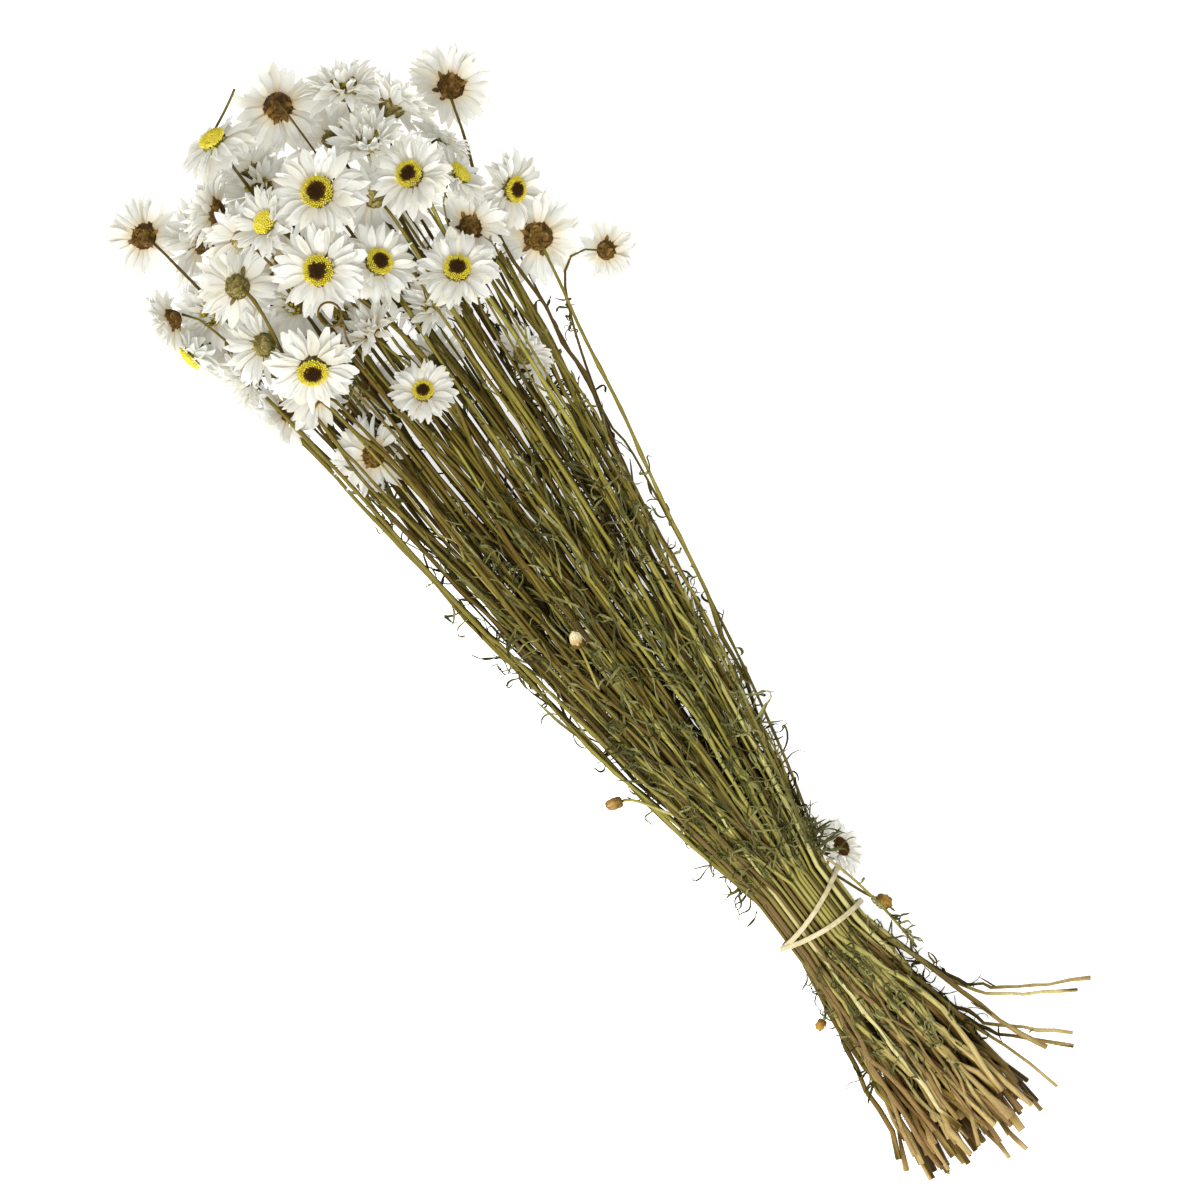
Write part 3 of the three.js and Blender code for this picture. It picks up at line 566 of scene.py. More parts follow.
# The mesh holds the two end caps of each strand first and then all their rings, six points each.
POINTS_AROUND = 6
# Each stem's tone is random, raised for stems near the middle of the tie: painted shade, so that the inner
# stems come out brown more often and the outer ones olive or bright.
tie_share = [math.hypot(u / FILLED_HALF[0], v / FILLED_HALF[1]) for u, v in taken]
tones = []
for share in tie_share + [1] * (len(strands) - len(taken)):
    tones.append(float(np.clip(chance.random() + 0.4 * (1.2 - share), 0, 1)))
marks = {
    "along": [(1, 0, np.arange(len(route)) / (len(route) - 1)) for route, _ in strands],
    "tone": [(tone, tone, np.full(len(route), tone)) for tone, (route, _) in zip(tones, strands)],
    "depth": [(depths[-1], depths[0], depths) for depths in [buried(route) for route, _ in strands]],
}
for name, rows in marks.items():
    caps = [value for first, second, _ in rows for value in (first, second)]
    rings = [value for _, _, values in rows for value in values]
    mark(stems.data, name, np.repeat(caps + rings, POINTS_AROUND))
bpy.ops.object.mode_set(mode="EDIT")
bpy.ops.mesh.select_all(action="SELECT")
bpy.ops.mesh.remove_doubles(threshold=0.000001)
bpy.ops.object.mode_set(mode="OBJECT")



def shaded(tree, colour, pattern, share, ramp):
    """A colour multiplied by a pattern's shades, which the ramp gives."""
    shade = add_node(tree, "ValToRGB", {"Fac": pattern}, ramp)
    both = {0: share, 6: colour, 7: shade}
    return add_node(tree, "Mix", both, output=2, data_type="RGBA", blend_type="MULTIPLY")


def painted_shade_by_depth(tree, colour):
    """A colour that falls off to dark brown deep in the bunch: painted shade, where little light gets in
    between the stems.
    """
    depth = add_node(tree, "Attribute", output="Fac", attribute_name="depth")
    share = add_node(tree, "MapRange", {0: depth, 1: 0.0, 2: 20.0})
    ramp = [(0.05, "#FFFFFF"), (0.17, "#EEEBE0"), (0.32, "#CEC6A6"), (0.6, "#9B8F61"), (0.9, "#6F6530")]
    return shaded(tree, colour, share, 1.0, ramp)


# Dry stem skin is ribbed lengthwise and faintly waxy: most of it olive, some brown, some still
# bright. The ribs are 0.25 mm apart in life and drawn 0.5 mm apart, so that they show. Deep in
# the bunch the colour is darkened as painted shade, and stems near the middle of the tie lean to
# brown as painted shade too.
RIB = 0.0005
RIB_LENGTH = 0.03
STEM_COLOURS = {
    "olive": [(0.0, "#BCA36C"), (0.1, "#A49A55"), (0.3, "#8E883E"), (0.6, "#887E34"), (0.95, "#776C28")],
    "brown": [(0.0, "#8C7044"), (0.25, "#66552C"), (0.6, "#5C4A18"), (0.95, "#66541A")],
    "bright": [(0.0, "#D6CA98"), (0.3, "#C8C27C"), (0.6, "#BCB45A"), (0.95, "#9E9A48")],
}
skin, tree, shader = start_material("dry_ribbed_stem_skin")
place = add_node(tree, "TexCoord", output="Object")
ribs_at = add_node(tree, "Mapping", {"Vector": place, "Scale": (1 / RIB_LENGTH, 1 / RIB, 1 / RIB)})
ribs = add_node(tree, "TexNoise", {"Vector": ribs_at, "Scale": 1.0, "Detail": 3.0})
along = add_node(tree, "Attribute", output="Fac", attribute_name="along")
tone = add_node(tree, "Attribute", output="Fac", attribute_name="tone")
olive, brown, bright = [add_node(tree, "ValToRGB", {"Fac": along}, ramp) for ramp in STEM_COLOURS.values()]
is_brown = add_node(tree, "MapRange", {0: tone, 1: 0.56, 2: 0.92})
is_bright = add_node(tree, "MapRange", {0: tone, 1: 0.28, 2: 0.1})
browned = add_node(tree, "Mix", {0: is_brown, 6: olive, 7: brown}, output=2, data_type="RGBA")
mixed = add_node(tree, "Mix", {0: is_bright, 6: browned, 7: bright}, output=2, data_type="RGBA")
ribbed = shaded(tree, mixed, ribs, 0.6, [(0.3, "#7E786A"), (0.7, "#FFFFFF")])
dents = add_node(tree, "Bump", {"Height": ribs, "Strength": 0.5, "Distance": 0.0004})
set_inputs(tree, shader, {"Base Color": painted_shade_by_depth(tree, ribbed), "Normal": dents})
set_inputs(tree, shader, {"Roughness": 0.6, "Specular IOR Level": 0.12})
stems.data.materials.append(skin)
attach(stems, "root")
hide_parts("stem_bundle")
bpy.ops.object.select_all(action="DESELECT")


# Leaves: narrow grey-olive blades that dried on the stems and curled at the tip. One blade is
# modelled flat and a bent copy is laid on the stems for each leaf.
def take_shape(shape):
    """The points and triangles of a small modelled shape, which is then cleared away."""
    shape.data.calc_loop_triangles()
    points = np.array([vertex.co for vertex in shape.data.vertices])
    faces = np.array([triangle.vertices for triangle in shape.data.loop_triangles])
    bpy.data.objects.remove(shape)
    return points, faces


def outline(claw, widest, tip, sharpness=2.2):
    """Half-width along a blade: from a narrow claw to its widest place and down to the tip."""

    def width_at(along):
        if along < widest:
            return claw + (1 - claw) * math.sin(math.pi / 2 * along / widest)
        return tip + (1 - tip) * (1 - ((along - widest) / (1 - widest)) ** sharpness)

    return width_at


def flat_blade(length, width, columns, rows, width_at, thickness):
    """A flat blade of real size, for copies that are bent: its points, faces and map."""
    bpy.ops.mesh.primitive_grid_add(x_subdivisions=columns, y_subdivisions=rows, size=1)
    blade = bpy.context.object
    for vertex in blade.data.vertices:
        across, along = vertex.co.x, vertex.co.y + 0.5
        vertex.co = (across * width_at(along) * width, along * length, 0)
    bpy.ops.object.modifier_add(type="SOLIDIFY")
    blade.modifiers[-1].thickness = thickness
    blade.modifiers[-1].offset = 0
    bpy.ops.object.modifier_apply(modifier=blade.modifiers[-1].name)
    points, faces = take_shape(blade)
    across, along = points[:, 0] / width, np.clip(points[:, 1] / length, 0, 1)
    chart = np.stack([across + 0.5, along], axis=1)
    blade = {"across": across, "along": along, "lift": points[:, 2]}
    return {**blade, "faces": faces, "chart": chart, "rows": rows}


def lay_blade(blade, root, ahead, up, length, width, curl, twist=0.0, cup=0.0):
    """Points of a blade's copy, bent along its length. Curl is the degrees of each step."""
    ahead = ahead / np.linalg.norm(ahead)
    side = np.cross(ahead, up)
    side = side / np.linalg.norm(side)
    up = np.cross(side, ahead)
    spots, sides, ups = [root], [side], [up]
    turn = math.radians(twist / len(curl))
    for bend in np.radians(curl):
        sine, cosine = math.sin(bend), math.cos(bend)
        ahead, up = ahead * cosine + up * sine, up * cosine - ahead * sine
        sine, cosine = math.sin(turn), math.cos(turn)
        side, up = side * cosine + up * sine, up * cosine - side * sine
        root = root + ahead * (length / len(curl))
        spots.append(root)
        sides.append(side)
        ups.append(up)
    step = blade["along"] * len(curl)
    k = np.minimum(step.astype(int), len(curl) - 1)
    share = (step - k)[:, None]
    spot, side, up = [
        np.array(rows)[k] * (1 - share) + np.array(rows)[k + 1] * share for rows in (spots, sides, ups)
    ]
    lift = blade["lift"] + cup * (2 * blade["across"]) ** 2
    return spot + side * (blade["across"] * width)[:, None] + up * lift[:, None]


def make_piece(name, parts, material, smooth=50):
    """One object from laid copies: (points, blade, numbers kept for each point)."""
    points = np.concatenate([part[0] for part in parts])
    starts = np.cumsum([0] + [len(part[0]) for part in parts[:-1]])
    faces = np.concatenate([part[1]["faces"] + start for part, start in zip(parts, starts)])
    charts = np.concatenate([part[1]["chart"] for part in parts])
    mesh = bpy.data.meshes.new(name)
    places = (points + np.array(TIE)) * 0.001
    mesh.from_pydata(places.tolist(), [], faces.tolist())
    layer = mesh.uv_layers.new(name="blade")
    layer.data.foreach_set("uv", charts[faces.ravel()].astype(np.float32).ravel())
    for key in parts[0][2]:
        mark(mesh, key, np.concatenate([np.full(len(part[0]), part[2][key]) for part in parts]))
    mesh.shade_smooth()
    mesh.set_sharp_from_angle(angle=math.radians(smooth))
    mesh.materials.append(material)
    piece = bpy.data.objects.new(name, mesh)
    scene.collection.objects.link(piece)
    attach(piece, "root")
    return piece


LEAF_BENDS = 9
LEAF_WIDTH = 1.1  # of those that hang free
HIGHEST_LEAF = 64
FURTHEST_ASIDE = 13  # past the outermost stems
BAND_ZONE = 11  # no leaf lies nearer to the middle of the band
BUNCH_EDGE = 20.6  # half-width at the band
leaf_blade = flat_blade(16, 1.5, 1, LEAF_BENDS, outline(0.4, 0.45, 0.08), 0.3)
outermost_first = sorted(range(len(routes)), key=lambda i: -tie_share[i])
by_side = sorted(range(len(routes)), key=lambda i: np.interp(120, routes[i][:, 0], routes[i][:, 1]))
edge_x = np.arange(-130, 330, 10)
ordered = [np.sort([np.interp(x, r[:, 0], r[:, 1]) for r in routes if r[-1][0] > x]) for x in edge_x]
left_edge = [places[-3] for places in ordered]
right_edge = [places[2] for places in ordered]


def waves(heights, pitches):
    """The degrees of each bend of a leaf that curls to and fro."""
    height, start = chance.uniform(*heights), chance.uniform(0, 6)
    return height * np.sin(start + np.arange(LEAF_BENDS) * chance.uniform(*pitches))


def leaf(low, high, lengths, spot=None):
    """One leaf on a stem between two distances from the tie, or None where it finds no room.

    A spot is a stem and a place on it, for leaves that grow in a tuft.
    """
    pair = chance.integers(0, len(routes), 2)
    upper = pair[0] if 0 < low < 100 else max(pair, key=lambda r: taken[r][1])
    i, x = spot or (upper, chance.uniform(low, high))
    route = routes[i]
    if x > route[-3][0] or x < route[2][0]:
        return None
    k = np.argmax(route[:, 0] > x)
    tangent = route[k] - route[k - 1]
    root = route[k - 1] + tangent * chance.random()
    tangent /= np.linalg.norm(tangent)
    outward = np.array([0, taken[i][0] / FILLED_HALF[0], taken[i][1] / FILLED_HALF[1]])
    outward += chance.normal(0, 0.5, 3) * (0, 1, 1)
    outward /= np.linalg.norm(outward)
    habit = chance.random() if spot is None else 1
    if habit < 0.78:  # it lies along the stem
        stand = chance.uniform(0.0, 0.22)
        curl = chance.normal(0, 4) + chance.normal(0, 9, LEAF_BENDS)
    elif habit < 0.92:  # it ends in a hook
        stand = chance.uniform(0.1, 0.5)
        hook = chance.choice([-1, 1]) * chance.uniform(12, 44)
        curl = hook * np.linspace(0, 1.5, LEAF_BENDS) + chance.normal(0, 8, LEAF_BENDS)
    else:  # it stands off and curls to and fro
        stand = chance.uniform(0.3, 1.2)
        wave = waves((24, 58), (0.4, 1.0))
        curl = chance.normal(0, 14) + wave
    aside = np.cross(tangent, outward) * chance.normal(0, 0.24)
    ahead = tangent * chance.choice([1, 1, 1, 1, -1]) + outward * stand + aside
    length = chance.uniform(*lengths)
    width = chance.uniform(0.5, 1.2) if x < 70 else chance.uniform(0.6, 1.5)
    points = lay_blade(leaf_blade, root, ahead, outward, length, width, curl, chance.normal(0, 220))
    over_band = (abs(points[:, 0] + 1) < BAND_ZONE).any()
    edge = np.interp(points[:, 0], edge_x, left_edge if route[k][1] > 0 else right_edge)
    beyond = (abs(points[:, 1]) - abs(edge)).max()
    if points[:, 2].min() < 0.1 or points[:, 2].max() > HIGHEST_LEAF or beyond > FURTHEST_ASIDE or over_band:
        return None
    if beyond > 1 and chance.random() > (0.6 if spot or route[k][1] < 0 else 0.16):
        return None
    return points, leaf_blade, {"tone": chance.random(), "depth": float(buried(points).mean())}


def leaves_between(count, *limits):
    """As many leaves as asked for between two distances from the tie; a fifth grow in tufts."""
    grown = []
    while len(grown) < count:
        spots = [None]
        if chance.random() < 0.03:
            i = outermost_first[int(len(routes) * chance.random() * 0.5)]
            x = chance.uniform(*limits[:2])
            spots = [(i, x + chance.normal(0, 3)) for _ in range(chance.integers(5, 13))]
        leaves = [leaf(*limits, spot) for spot in spots]
        grown += [one for one in leaves if one is not None]
    return grown


lower_leaves = leaves_between(1320, 14, 125, (10, 28))
upper_leaves = leaves_between(950, 125, 215, (8, 24))
upper_leaves += leaves_between(560, 215, 310, (4, 11))
butt_leaves = leaves_between(1000, -112, -14, (6, 16))

# Small leaves curl in the open between the outermost stems, most of them on the right side.
for count, low, high, outermost in (
    (230, 16, 235, by_side[:14]),
    (26, 60, 235, by_side[-6:]),
    (40, 14, 56, by_side[-8:]),
    (34, -44, -14, by_side[-10:]),
    (50, -70, -14, by_side[:10]),
):
    for _ in range(count):
        spot = (outermost[chance.integers(len(outermost))], chance.uniform(low, high))
        curled = leaf(low, high, (6, 14), spot)
        if curled is not None:
            lower_leaves.append(curled)


def loose_leaf(root, ahead, up, jitters, heights, pitches, lengths, twist):
    """Points of a curled leaf that hangs free of the stems."""
    ahead = ahead + chance.normal(0, jitters[0], 3)
    wave = waves(heights, pitches)
    up = up + chance.normal(0, jitters[1], 3)
    length = chance.uniform(*lengths)
    return lay_blade(leaf_blade, root, ahead, up, length, LEAF_WIDTH, wave, chance.normal(0, twist))


for place_on_shoot in np.linspace(13, -37, 34):
    root = hanging[int(np.argmin(abs(hanging[:, 0] - place_on_shoot)))]
    back, up = np.array([-1, 0, 0]), np.array([0, -0.4, 1])
    points = loose_leaf(root, back, up, (0.7, 0.3), (20, 60), (0.5, 1.3), (6, 13), 200)
    x = points[:, 0]
    if points[:, 1].max() < -BUNCH_EDGE or x.min() > 10 or x.max() < -13:
        butt_leaves.append((points, leaf_blade, {"tone": chance.random(), "depth": 0}))

# A tuft hangs out of each side of the bunch by the band, on the right over the lone head.
for side, lowest, count in ((-1, 24, 44), (1, 8, 30)):
    for _ in range(count):
        root = [chance.uniform(8, 34), side * chance.uniform(16.5, 20), lowest + chance.uniform(3, 6)]
        ahead, up = np.array([chance.uniform(-1.2, 0.2), side, 0.1]), np.array([0, side * 0.3, 1])
        points = loose_leaf(np.array(root), ahead, up, (0.2, 0.2), (16, 50), (0.4, 1.1), (8, 19), 160)
        aside = (side * points[:, 1]).min()
        if points[:, 2].min() > lowest and (points[:, 0].min() > 10 or aside > BUNCH_EDGE):
            lower_leaves.append((points, leaf_blade, {"tone": chance.random() * 0.6, "depth": 0}))

# A dry leaf is matt and grey-olive, no two in the same shade, and looks crumpled by creases about
# a millimetre apart. Deep in the bunch it is darkened as painted shade.
CREASES_TO_A_METRE = 900.0
LEAF_TONES = [(0.0, "#3E3C1E"), (0.4, "#585834"), (0.75, "#747244"), (1.0, "#949060")]
dry_leaf, tree, shader = start_material("dry_grey_olive_leaf")
tone = add_node(tree, "Attribute", output="Fac", attribute_name="tone")
leaf_tone = add_node(tree, "ValToRGB", {"Fac": tone}, LEAF_TONES)
place = add_node(tree, "TexCoord", output="Object")
crumple = add_node(tree, "TexNoise", {"Vector": place, "Scale": CREASES_TO_A_METRE, "Detail": 3.0})
mottled = shaded(tree, leaf_tone, crumple, 0.7, [(0.3, "#A6A090"), (0.7, "#FFFFFF")])
dents = add_node(tree, "Bump", {"Height": crumple, "Strength": 0.4, "Distance": 0.0005})
set_inputs(tree, shader, {"Base Color": painted_shade_by_depth(tree, mottled), "Normal": dents})
set_inputs(tree, shader, {"Roughness": 0.85, "Specular IOR Level": 0.05})
leaf_groups = {"lower_leaves": lower_leaves, "upper_leaves": upper_leaves, "butt_leaves": butt_leaves}
for name, parts in leaf_groups.items():
    leaves = make_piece(name, parts, dry_leaf)
    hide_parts("stem_bundle")

# Rubber band: one loop of flat cream rubber, wound twice. Its turns lie on each other on one
# side and stand a finger's width apart on the other.
BAND_WIDTH = 0.0022
BAND_THICKNESS = 0.0011
BAND_EDGE = 0.00025
BAND_OFFSET = -5.5
BAND_TURNS = [(13.5, 0.0), (-3.5, 0.9)]  # how far it leans along the stems, and lies over the other
bands = []
for number, (lean, over) in enumerate(BAND_TURNS):
    bpy.ops.mesh.primitive_cylinder_add(
        vertices=120, radius=1, depth=BAND_WIDTH, end_fill_type="NOTHING", rotation=(0, math.pi / 2, 0)
    )
    turn_of_band = bpy.context.object
    bpy.ops.object.transform_apply()
    for vertex in turn_of_band.data.vertices:
        _, c, s = vertex.co
        angle = math.atan2(s, c)
        bump = 0.18 * math.sin(13 * angle + number) + 0.12 * math.sin(29 * angle)
        lift = CLEARANCE + 0.4 + bump + over * max(0, c) ** 3
        x = BAND_OFFSET + lean * (0.5 - 0.5 * c) - 2.2 * max(0, s) ** 2
        y = (TIE_HALF_WIDTH + lift) * c
        z = (TIE_HALF_HEIGHT + lift) * s + TIE_HEIGHT
        vertex.co = (TIE + Vector((x, y, z))) * 0.001 + Vector((vertex.co.x, 0, 0))
    for kind, settings in (
        ("SOLIDIFY", {"thickness": BAND_THICKNESS, "offset": 1}),
        ("BEVEL", {"width": BAND_EDGE, "segments": 2, "limit_method": "ANGLE"}),
    ):
        bpy.ops.object.modifier_add(type=kind)
        for name, value in settings.items():
            setattr(turn_of_band.modifiers[-1], name, value)
        bpy.ops.object.modifier_apply(modifier=turn_of_band.modifiers[-1].name)
    bands.append(turn_of_band)
for turn_of_band in bands:
    turn_of_band.select_set(True)
bpy.context.view_layer.objects.active = bands[0]
bpy.ops.object.join()
band = bpy.context.object
band.name = band.data.name = "rubber_band_loop"
bpy.ops.object.shade_smooth_by_angle(angle=math.radians(40))
bpy.ops.object.select_all(action="DESELECT")

# Natural rubber, calendered: matt and cream, with a faint bloom of talc in patches of 1.4 mm.
TALC_TO_A_METRE = 700.0
rubber, tree, shader = start_material("cream_natural_rubber")
place = add_node(tree, "TexCoord", output="Object")
talc = add_node(tree, "TexNoise", {"Vector": place, "Scale": TALC_TO_A_METRE, "Detail": 4.0})
cream = add_node(tree, "ValToRGB", {"Fac": talc}, [(0.3, "#A0956F"), (0.7, "#B6AA86")])
grain = add_node(tree, "Bump", {"Height": talc, "Strength": 0.2, "Distance": 0.0002})
set_inputs(tree, shader, {"Base Color": cream, "Normal": grain, "Roughness": 0.55})
band.data.materials.append(rubber)
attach(band, "root")
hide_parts("rubber_band")

# Cups: behind each head, overlapping papery scales close round its base like roof tiles. They
# dried brown, tan or olive, with thin pale margins, and the lowest meet the stem.
CUP_RINGS = [
    # height below the collar, distance from the axis, scales, degrees of rise, length
    (-6.4, 1.0, 6, 22, 3.6),
    (-5.6, 2.7, 9, 38, 4.2),
    (-4.4, 4.2, 12, 55, 4.6),
    (-3.1, 5.2, 13, 66, 4.6),
]
CORE_RADIUS = 5.4
CORE_DEPTH = 6.5
CORE_TOP = 1.2
SCALE_WIDTH = 4.8
RAGGED_WIDTH = 2.2
scale_blade = flat_blade(6, 4.0, 2, 3, outline(0.7, 0.35, 0.25, 2.4), 0.12)


def cup_core():
    """A closed bowl under the scales, so that no light comes through between them."""
    bpy.ops.mesh.primitive_uv_sphere_add(segments=12, ring_count=8, radius=1)
    core = bpy.context.object
    for vertex in core.data.vertices:
        x, y, z = vertex.co
        reach = CORE_RADIUS if z > -0.3 else CORE_RADIUS * (1 - 0.25 * ((-z - 0.3) / 0.7) ** 2)
        height = CORE_TOP * z if z > 0 else CORE_DEPTH * z
        vertex.co = (x * reach, y * reach, height) if math.hypot(x, y) > 0.001 else (0, 0, height)
    points, faces = take_shape(core)
    # A sphere's faces come in another order each time; sorted, they are the same each time.
    faces = np.array(sorted(min((a, b, c), (b, c, a), (c, a, b)) for a, b, c in faces.tolist()))
    chart = np.stack([np.full(len(points), 0.5), np.full(len(points), 0.1)], axis=1)
    return {"points": points, "faces": faces, "chart": chart}


core_shape = cup_core()


# Papery scale skin is matt, darkest at the foot and paler towards the tip, with veins about
# 0.4 mm apart.
VEINS = (11, 1.2, 1)  # across a scale and along it


def papery(name, base, middle, margin):
    """The skin of papery scales in one colour."""
    material, tree, shader = start_material(name)
    chart = add_node(tree, "UVMap", uv_map="blade")
    along = add_node(tree, "SeparateXYZ", {0: chart}, output="Y")
    veins_at = add_node(tree, "Mapping", {"Vector": chart, "Scale": VEINS})
    veins = add_node(tree, "TexNoise", {"Vector": veins_at, "Scale": 1.0, "Detail": 4.0})
    ramp = [(0.0, base), (0.5, middle), (0.85, middle), (1.0, margin)]
    colour = add_node(tree, "ValToRGB", {"Fac": along}, ramp)
    veined = shaded(tree, colour, veins, 0.8, [(0.3, "#8F8578"), (0.7, "#FFFFFF")])
    tone = add_node(tree, "Attribute", output="Fac", attribute_name="tone")
    toned = shaded(tree, veined, tone, 0.9, [(0.0, "#9C8A78"), (0.6, "#FFFFFF")])
    relief = add_node(tree, "Bump", {"Height": veins, "Strength": 0.3, "Distance": 0.0003})
    set_inputs(tree, shader, {"Base Color": toned, "Normal": relief})
    set_inputs(tree, shader, {"Roughness": 0.7, "Specular IOR Level": 0.12})
    return material


scale_skins = {
    "face": papery("olive_papery_scale", "#5E5628", "#847A40", "#CFC69C"),
    "golden face": papery("yellow_green_papery_scale", "#6F6E2C", "#A5A24E", "#DCD8A8"),
    "olive cup": papery("olive_brown_papery_scale", "#7E7440", "#ACA160", "#DCD2A4"),
    "brown cup": papery("dark_brown_papery_scale", "#4E3812", "#84642A", "#CEB27A"),
    "tan cup": papery("tan_papery_scale", "#5C4418", "#8E6E34", "#D2B882"),
}


def place_core(flower):
    """The closed bowl of one head, in its place."""
    x, y, z = core_shape["points"].T
    out = np.outer(x, flower.east) + np.outer(y, flower.north) + np.outer(z, flower.facing)
    return flower.middle + out * flower.size


def cup_parts(flower):
    """The bowl and its scales, ring by ring from the stem up."""
    parts = [(place_core(flower), core_shape, {"tone": 0.5})]
    for height, distance, count, rise, length in CUP_RINGS:
        for k in range(count):
            turn = 2 * math.pi * (k + 0.5 * (count % 2)) / count + chance.normal(0, 0.16)
            ragged = chance.random() < 0.12
            ahead, up = flower.raised(turn, rise + chance.normal(0, 3) - 16 * ragged)
            size = flower.size * chance.uniform(0.75, 1.15)
            curl = (-7 if ragged else 8) + chance.normal(0, 3, 3)
            width = (RAGGED_WIDTH if ragged else SCALE_WIDTH) * flower.size * chance.uniform(0.75, 1.15)
            root = flower.at(turn, distance, height)
            twist = chance.normal(0, 6)
            points = lay_blade(scale_blade, root, ahead, up, length * size, width, curl, twist, 0.12)
            parts.append((points, scale_blade, {"tone": chance.random()}))
    return parts


cups = {}
for flower in heads:
    skin = scale_skins[flower.look]
    cups[flower.number] = make_piece(f"cup_{flower.number}", cup_parts(flower), skin)

# Florets: the disc is packed with tubes under a millimetre wide, in spirals as in a sunflower. The
# outer rows stand open and dust the ring yellow; the middle ones are spent and dark brown.
GOLDEN_ANGLE = math.radians(137.508)
DISC_RADIUS = 5.9
DISC_FLOOR = 1.9
DISC_RISE = 1.5
DARK_SHARE = 0.62  # of the disc's radius
FLORETS = {"own disc": 200, "golden": 110, "hidden": 36}  # those that hardly show are fewer and wider
TUBE_RADIUS = 0.36  # of the space between two tubes
TUBE_LENGTH = 1.6


def floret_shape():
    """One tube: five-sided, flared at the mouth and dented where it opens."""
    bpy.ops.mesh.primitive_cylinder_add(
        vertices=5, radius=TUBE_RADIUS, depth=TUBE_LENGTH, location=(0, 0, 0.3)
    )
    bpy.ops.object.transform_apply()
    tube = bpy.context.object
    bpy.ops.object.mode_set(mode="EDIT")
    bpy.ops.mesh.select_mode(type="FACE")
    bpy.ops.mesh.select_all(action="DESELECT")
    bpy.ops.object.mode_set(mode="OBJECT")
    for polygon in tube.data.polygons:
        polygon.select = polygon.normal.z > 0.9
    bpy.ops.object.mode_set(mode="EDIT")
    bpy.ops.transform.resize(value=(1.3, 1.3, 1))
    bpy.ops.mesh.inset(thickness=0.16)
    bpy.ops.transform.translate(value=(0, 0, -0.25))
    bpy.ops.object.mode_set(mode="OBJECT")
    points, faces = take_shape(tube)
    chart = np.stack([points[:, 0] + 0.5, np.clip(points[:, 2], 0, 1)], axis=1)
    return {"points": points, "faces": faces, "chart": chart}


def ripeness_of(flower, share):
    """How ripe a floret is, from 0 for a spent brown one to 1, by its share of the disc's radius."""
    if flower is lone_flower:
        return chance.uniform(0.05, 0.4)
    if flower.look == "golden face":
        return chance.uniform(0.86, 1)
    if flower.look.endswith("cup"):
        return chance.uniform(0.5, 0.6)
    ripe = min(0.8, (share - DARK_SHARE) * 2.4 + 0.55) + chance.normal(0, 0.06)
    return ripe + 0.3 * (chance.random() < 0.04)


def disc_parts(flower, count):
    """Tubes in a spiral on a low dome; those of the yellow ring stand higher."""
    parts = []
    spacing = DISC_RADIUS * math.sqrt(math.pi / count)
    for k in range(count):
        share = math.sqrt((k + 0.5) / count)
        turn = k * GOLDEN_ANGLE
        height = DISC_FLOOR + DISC_RISE * (1 - share**2) + chance.normal(0, 0.1)
        ripe = ripeness_of(flower, share)
        if flower.look == "face" and flower is not lone_flower:
            height += 0.35 * (ripe > 0.6)
        axis = flower.facing + flower.spoke(turn) * (0.55 * share**2 + chance.normal(0, 0.1))
        axis /= np.linalg.norm(axis)
        east = np.cross(flower.north, axis)
        east /= np.linalg.norm(east)
        north = np.cross(axis, east)
        x, y, z = floret["points"].T * (spacing * 1.05 * flower.size)
        z = z / spacing * chance.uniform(0.85, 1.15)
        points = flower.at(turn, share * DISC_RADIUS, height) + np.outer(x, east) + np.outer(y, north)
        points = points + np.outer(z, axis)
        parts.append((points, floret, {"ripeness": float(np.clip(ripe, 0, 1))}))
    return parts


# Dried florets are dead matt. Their pollen is far finer in life and drawn as patches of half a
# millimetre, so that it shows.
DUST_TO_A_METRE = 1800.0
RIPE_COLOURS = [
    (0.0, "#402A12"),
    (0.42, "#644420"),
    (0.52, "#8C7A20"),
    (0.62, "#D6CA44"),
    (0.84, "#E2D64C"),
    (1.0, "#FFF462"),
]
dusted, tree, shader = start_material("dry_pollen_dusted_florets")
ripeness = add_node(tree, "Attribute", output="Fac", attribute_name="ripeness")
floret_colour = add_node(tree, "ValToRGB", {"Fac": ripeness}, RIPE_COLOURS)
place = add_node(tree, "TexCoord", output="Object")
dust = add_node(tree, "TexNoise", {"Vector": place, "Scale": DUST_TO_A_METRE, "Detail": 2.0})
dusty = shaded(tree, floret_colour, dust, 0.8, [(0.35, "#C8BCA4"), (0.65, "#FFFFFF")])
set_inputs(tree, shader, {"Base Color": dusty, "Roughness": 0.9, "Specular IOR Level": 0.1})

floret = floret_shape()
for flower in heads:
    own_node = f"disc_{flower.number}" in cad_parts
    kind = "own disc" if own_node else "golden" if flower.look == "golden face" else "hidden"
    disc = make_piece(
        f"florets_{flower.number}", disc_parts(flower, FLORETS[kind]), dusted, smooth=60
    )
    if own_node:
        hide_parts(f"disc_{flower.number}")

# Petals: not true petals but papery white bracts, in four layers round each face and in six
# behind. The outer ones lie broad and flat, the inner ones are narrow and stand up, and all
# dried with a curl.
BLADE_LENGTH = 13
BLADE_WIDTH = 4.6
PAPER = 0.16
broad = flat_blade(BLADE_LENGTH, BLADE_WIDTH, 3, 6, outline(0.2, 0.6, 0.2, 2.0), PAPER)
pointed = flat_blade(BLADE_LENGTH, BLADE_WIDTH, 2, 6, outline(0.2, 0.54, 0.07, 1.6), PAPER)
narrow = flat_blade(BLADE_LENGTH, BLADE_WIDTH, 2, 5, outline(0.3, 0.55, 0.1, 1.7), PAPER)
FACE_LAYERS = [
    # height on the collar, distance from the axis, petals, angle, share of length, width, blades
    (-1.3, 5.4, 16, -3, 1.02, 5.4, (pointed, broad)),
    (-0.7, 5.6, 17, 5, 1.0, 5.2, (pointed, broad)),
    (0.0, 5.7, 17, 12, 0.96, 4.6, (pointed, broad, narrow)),
    (0.6, 5.9, 9, 20, 0.8, 3.4, (narrow, pointed)),
]
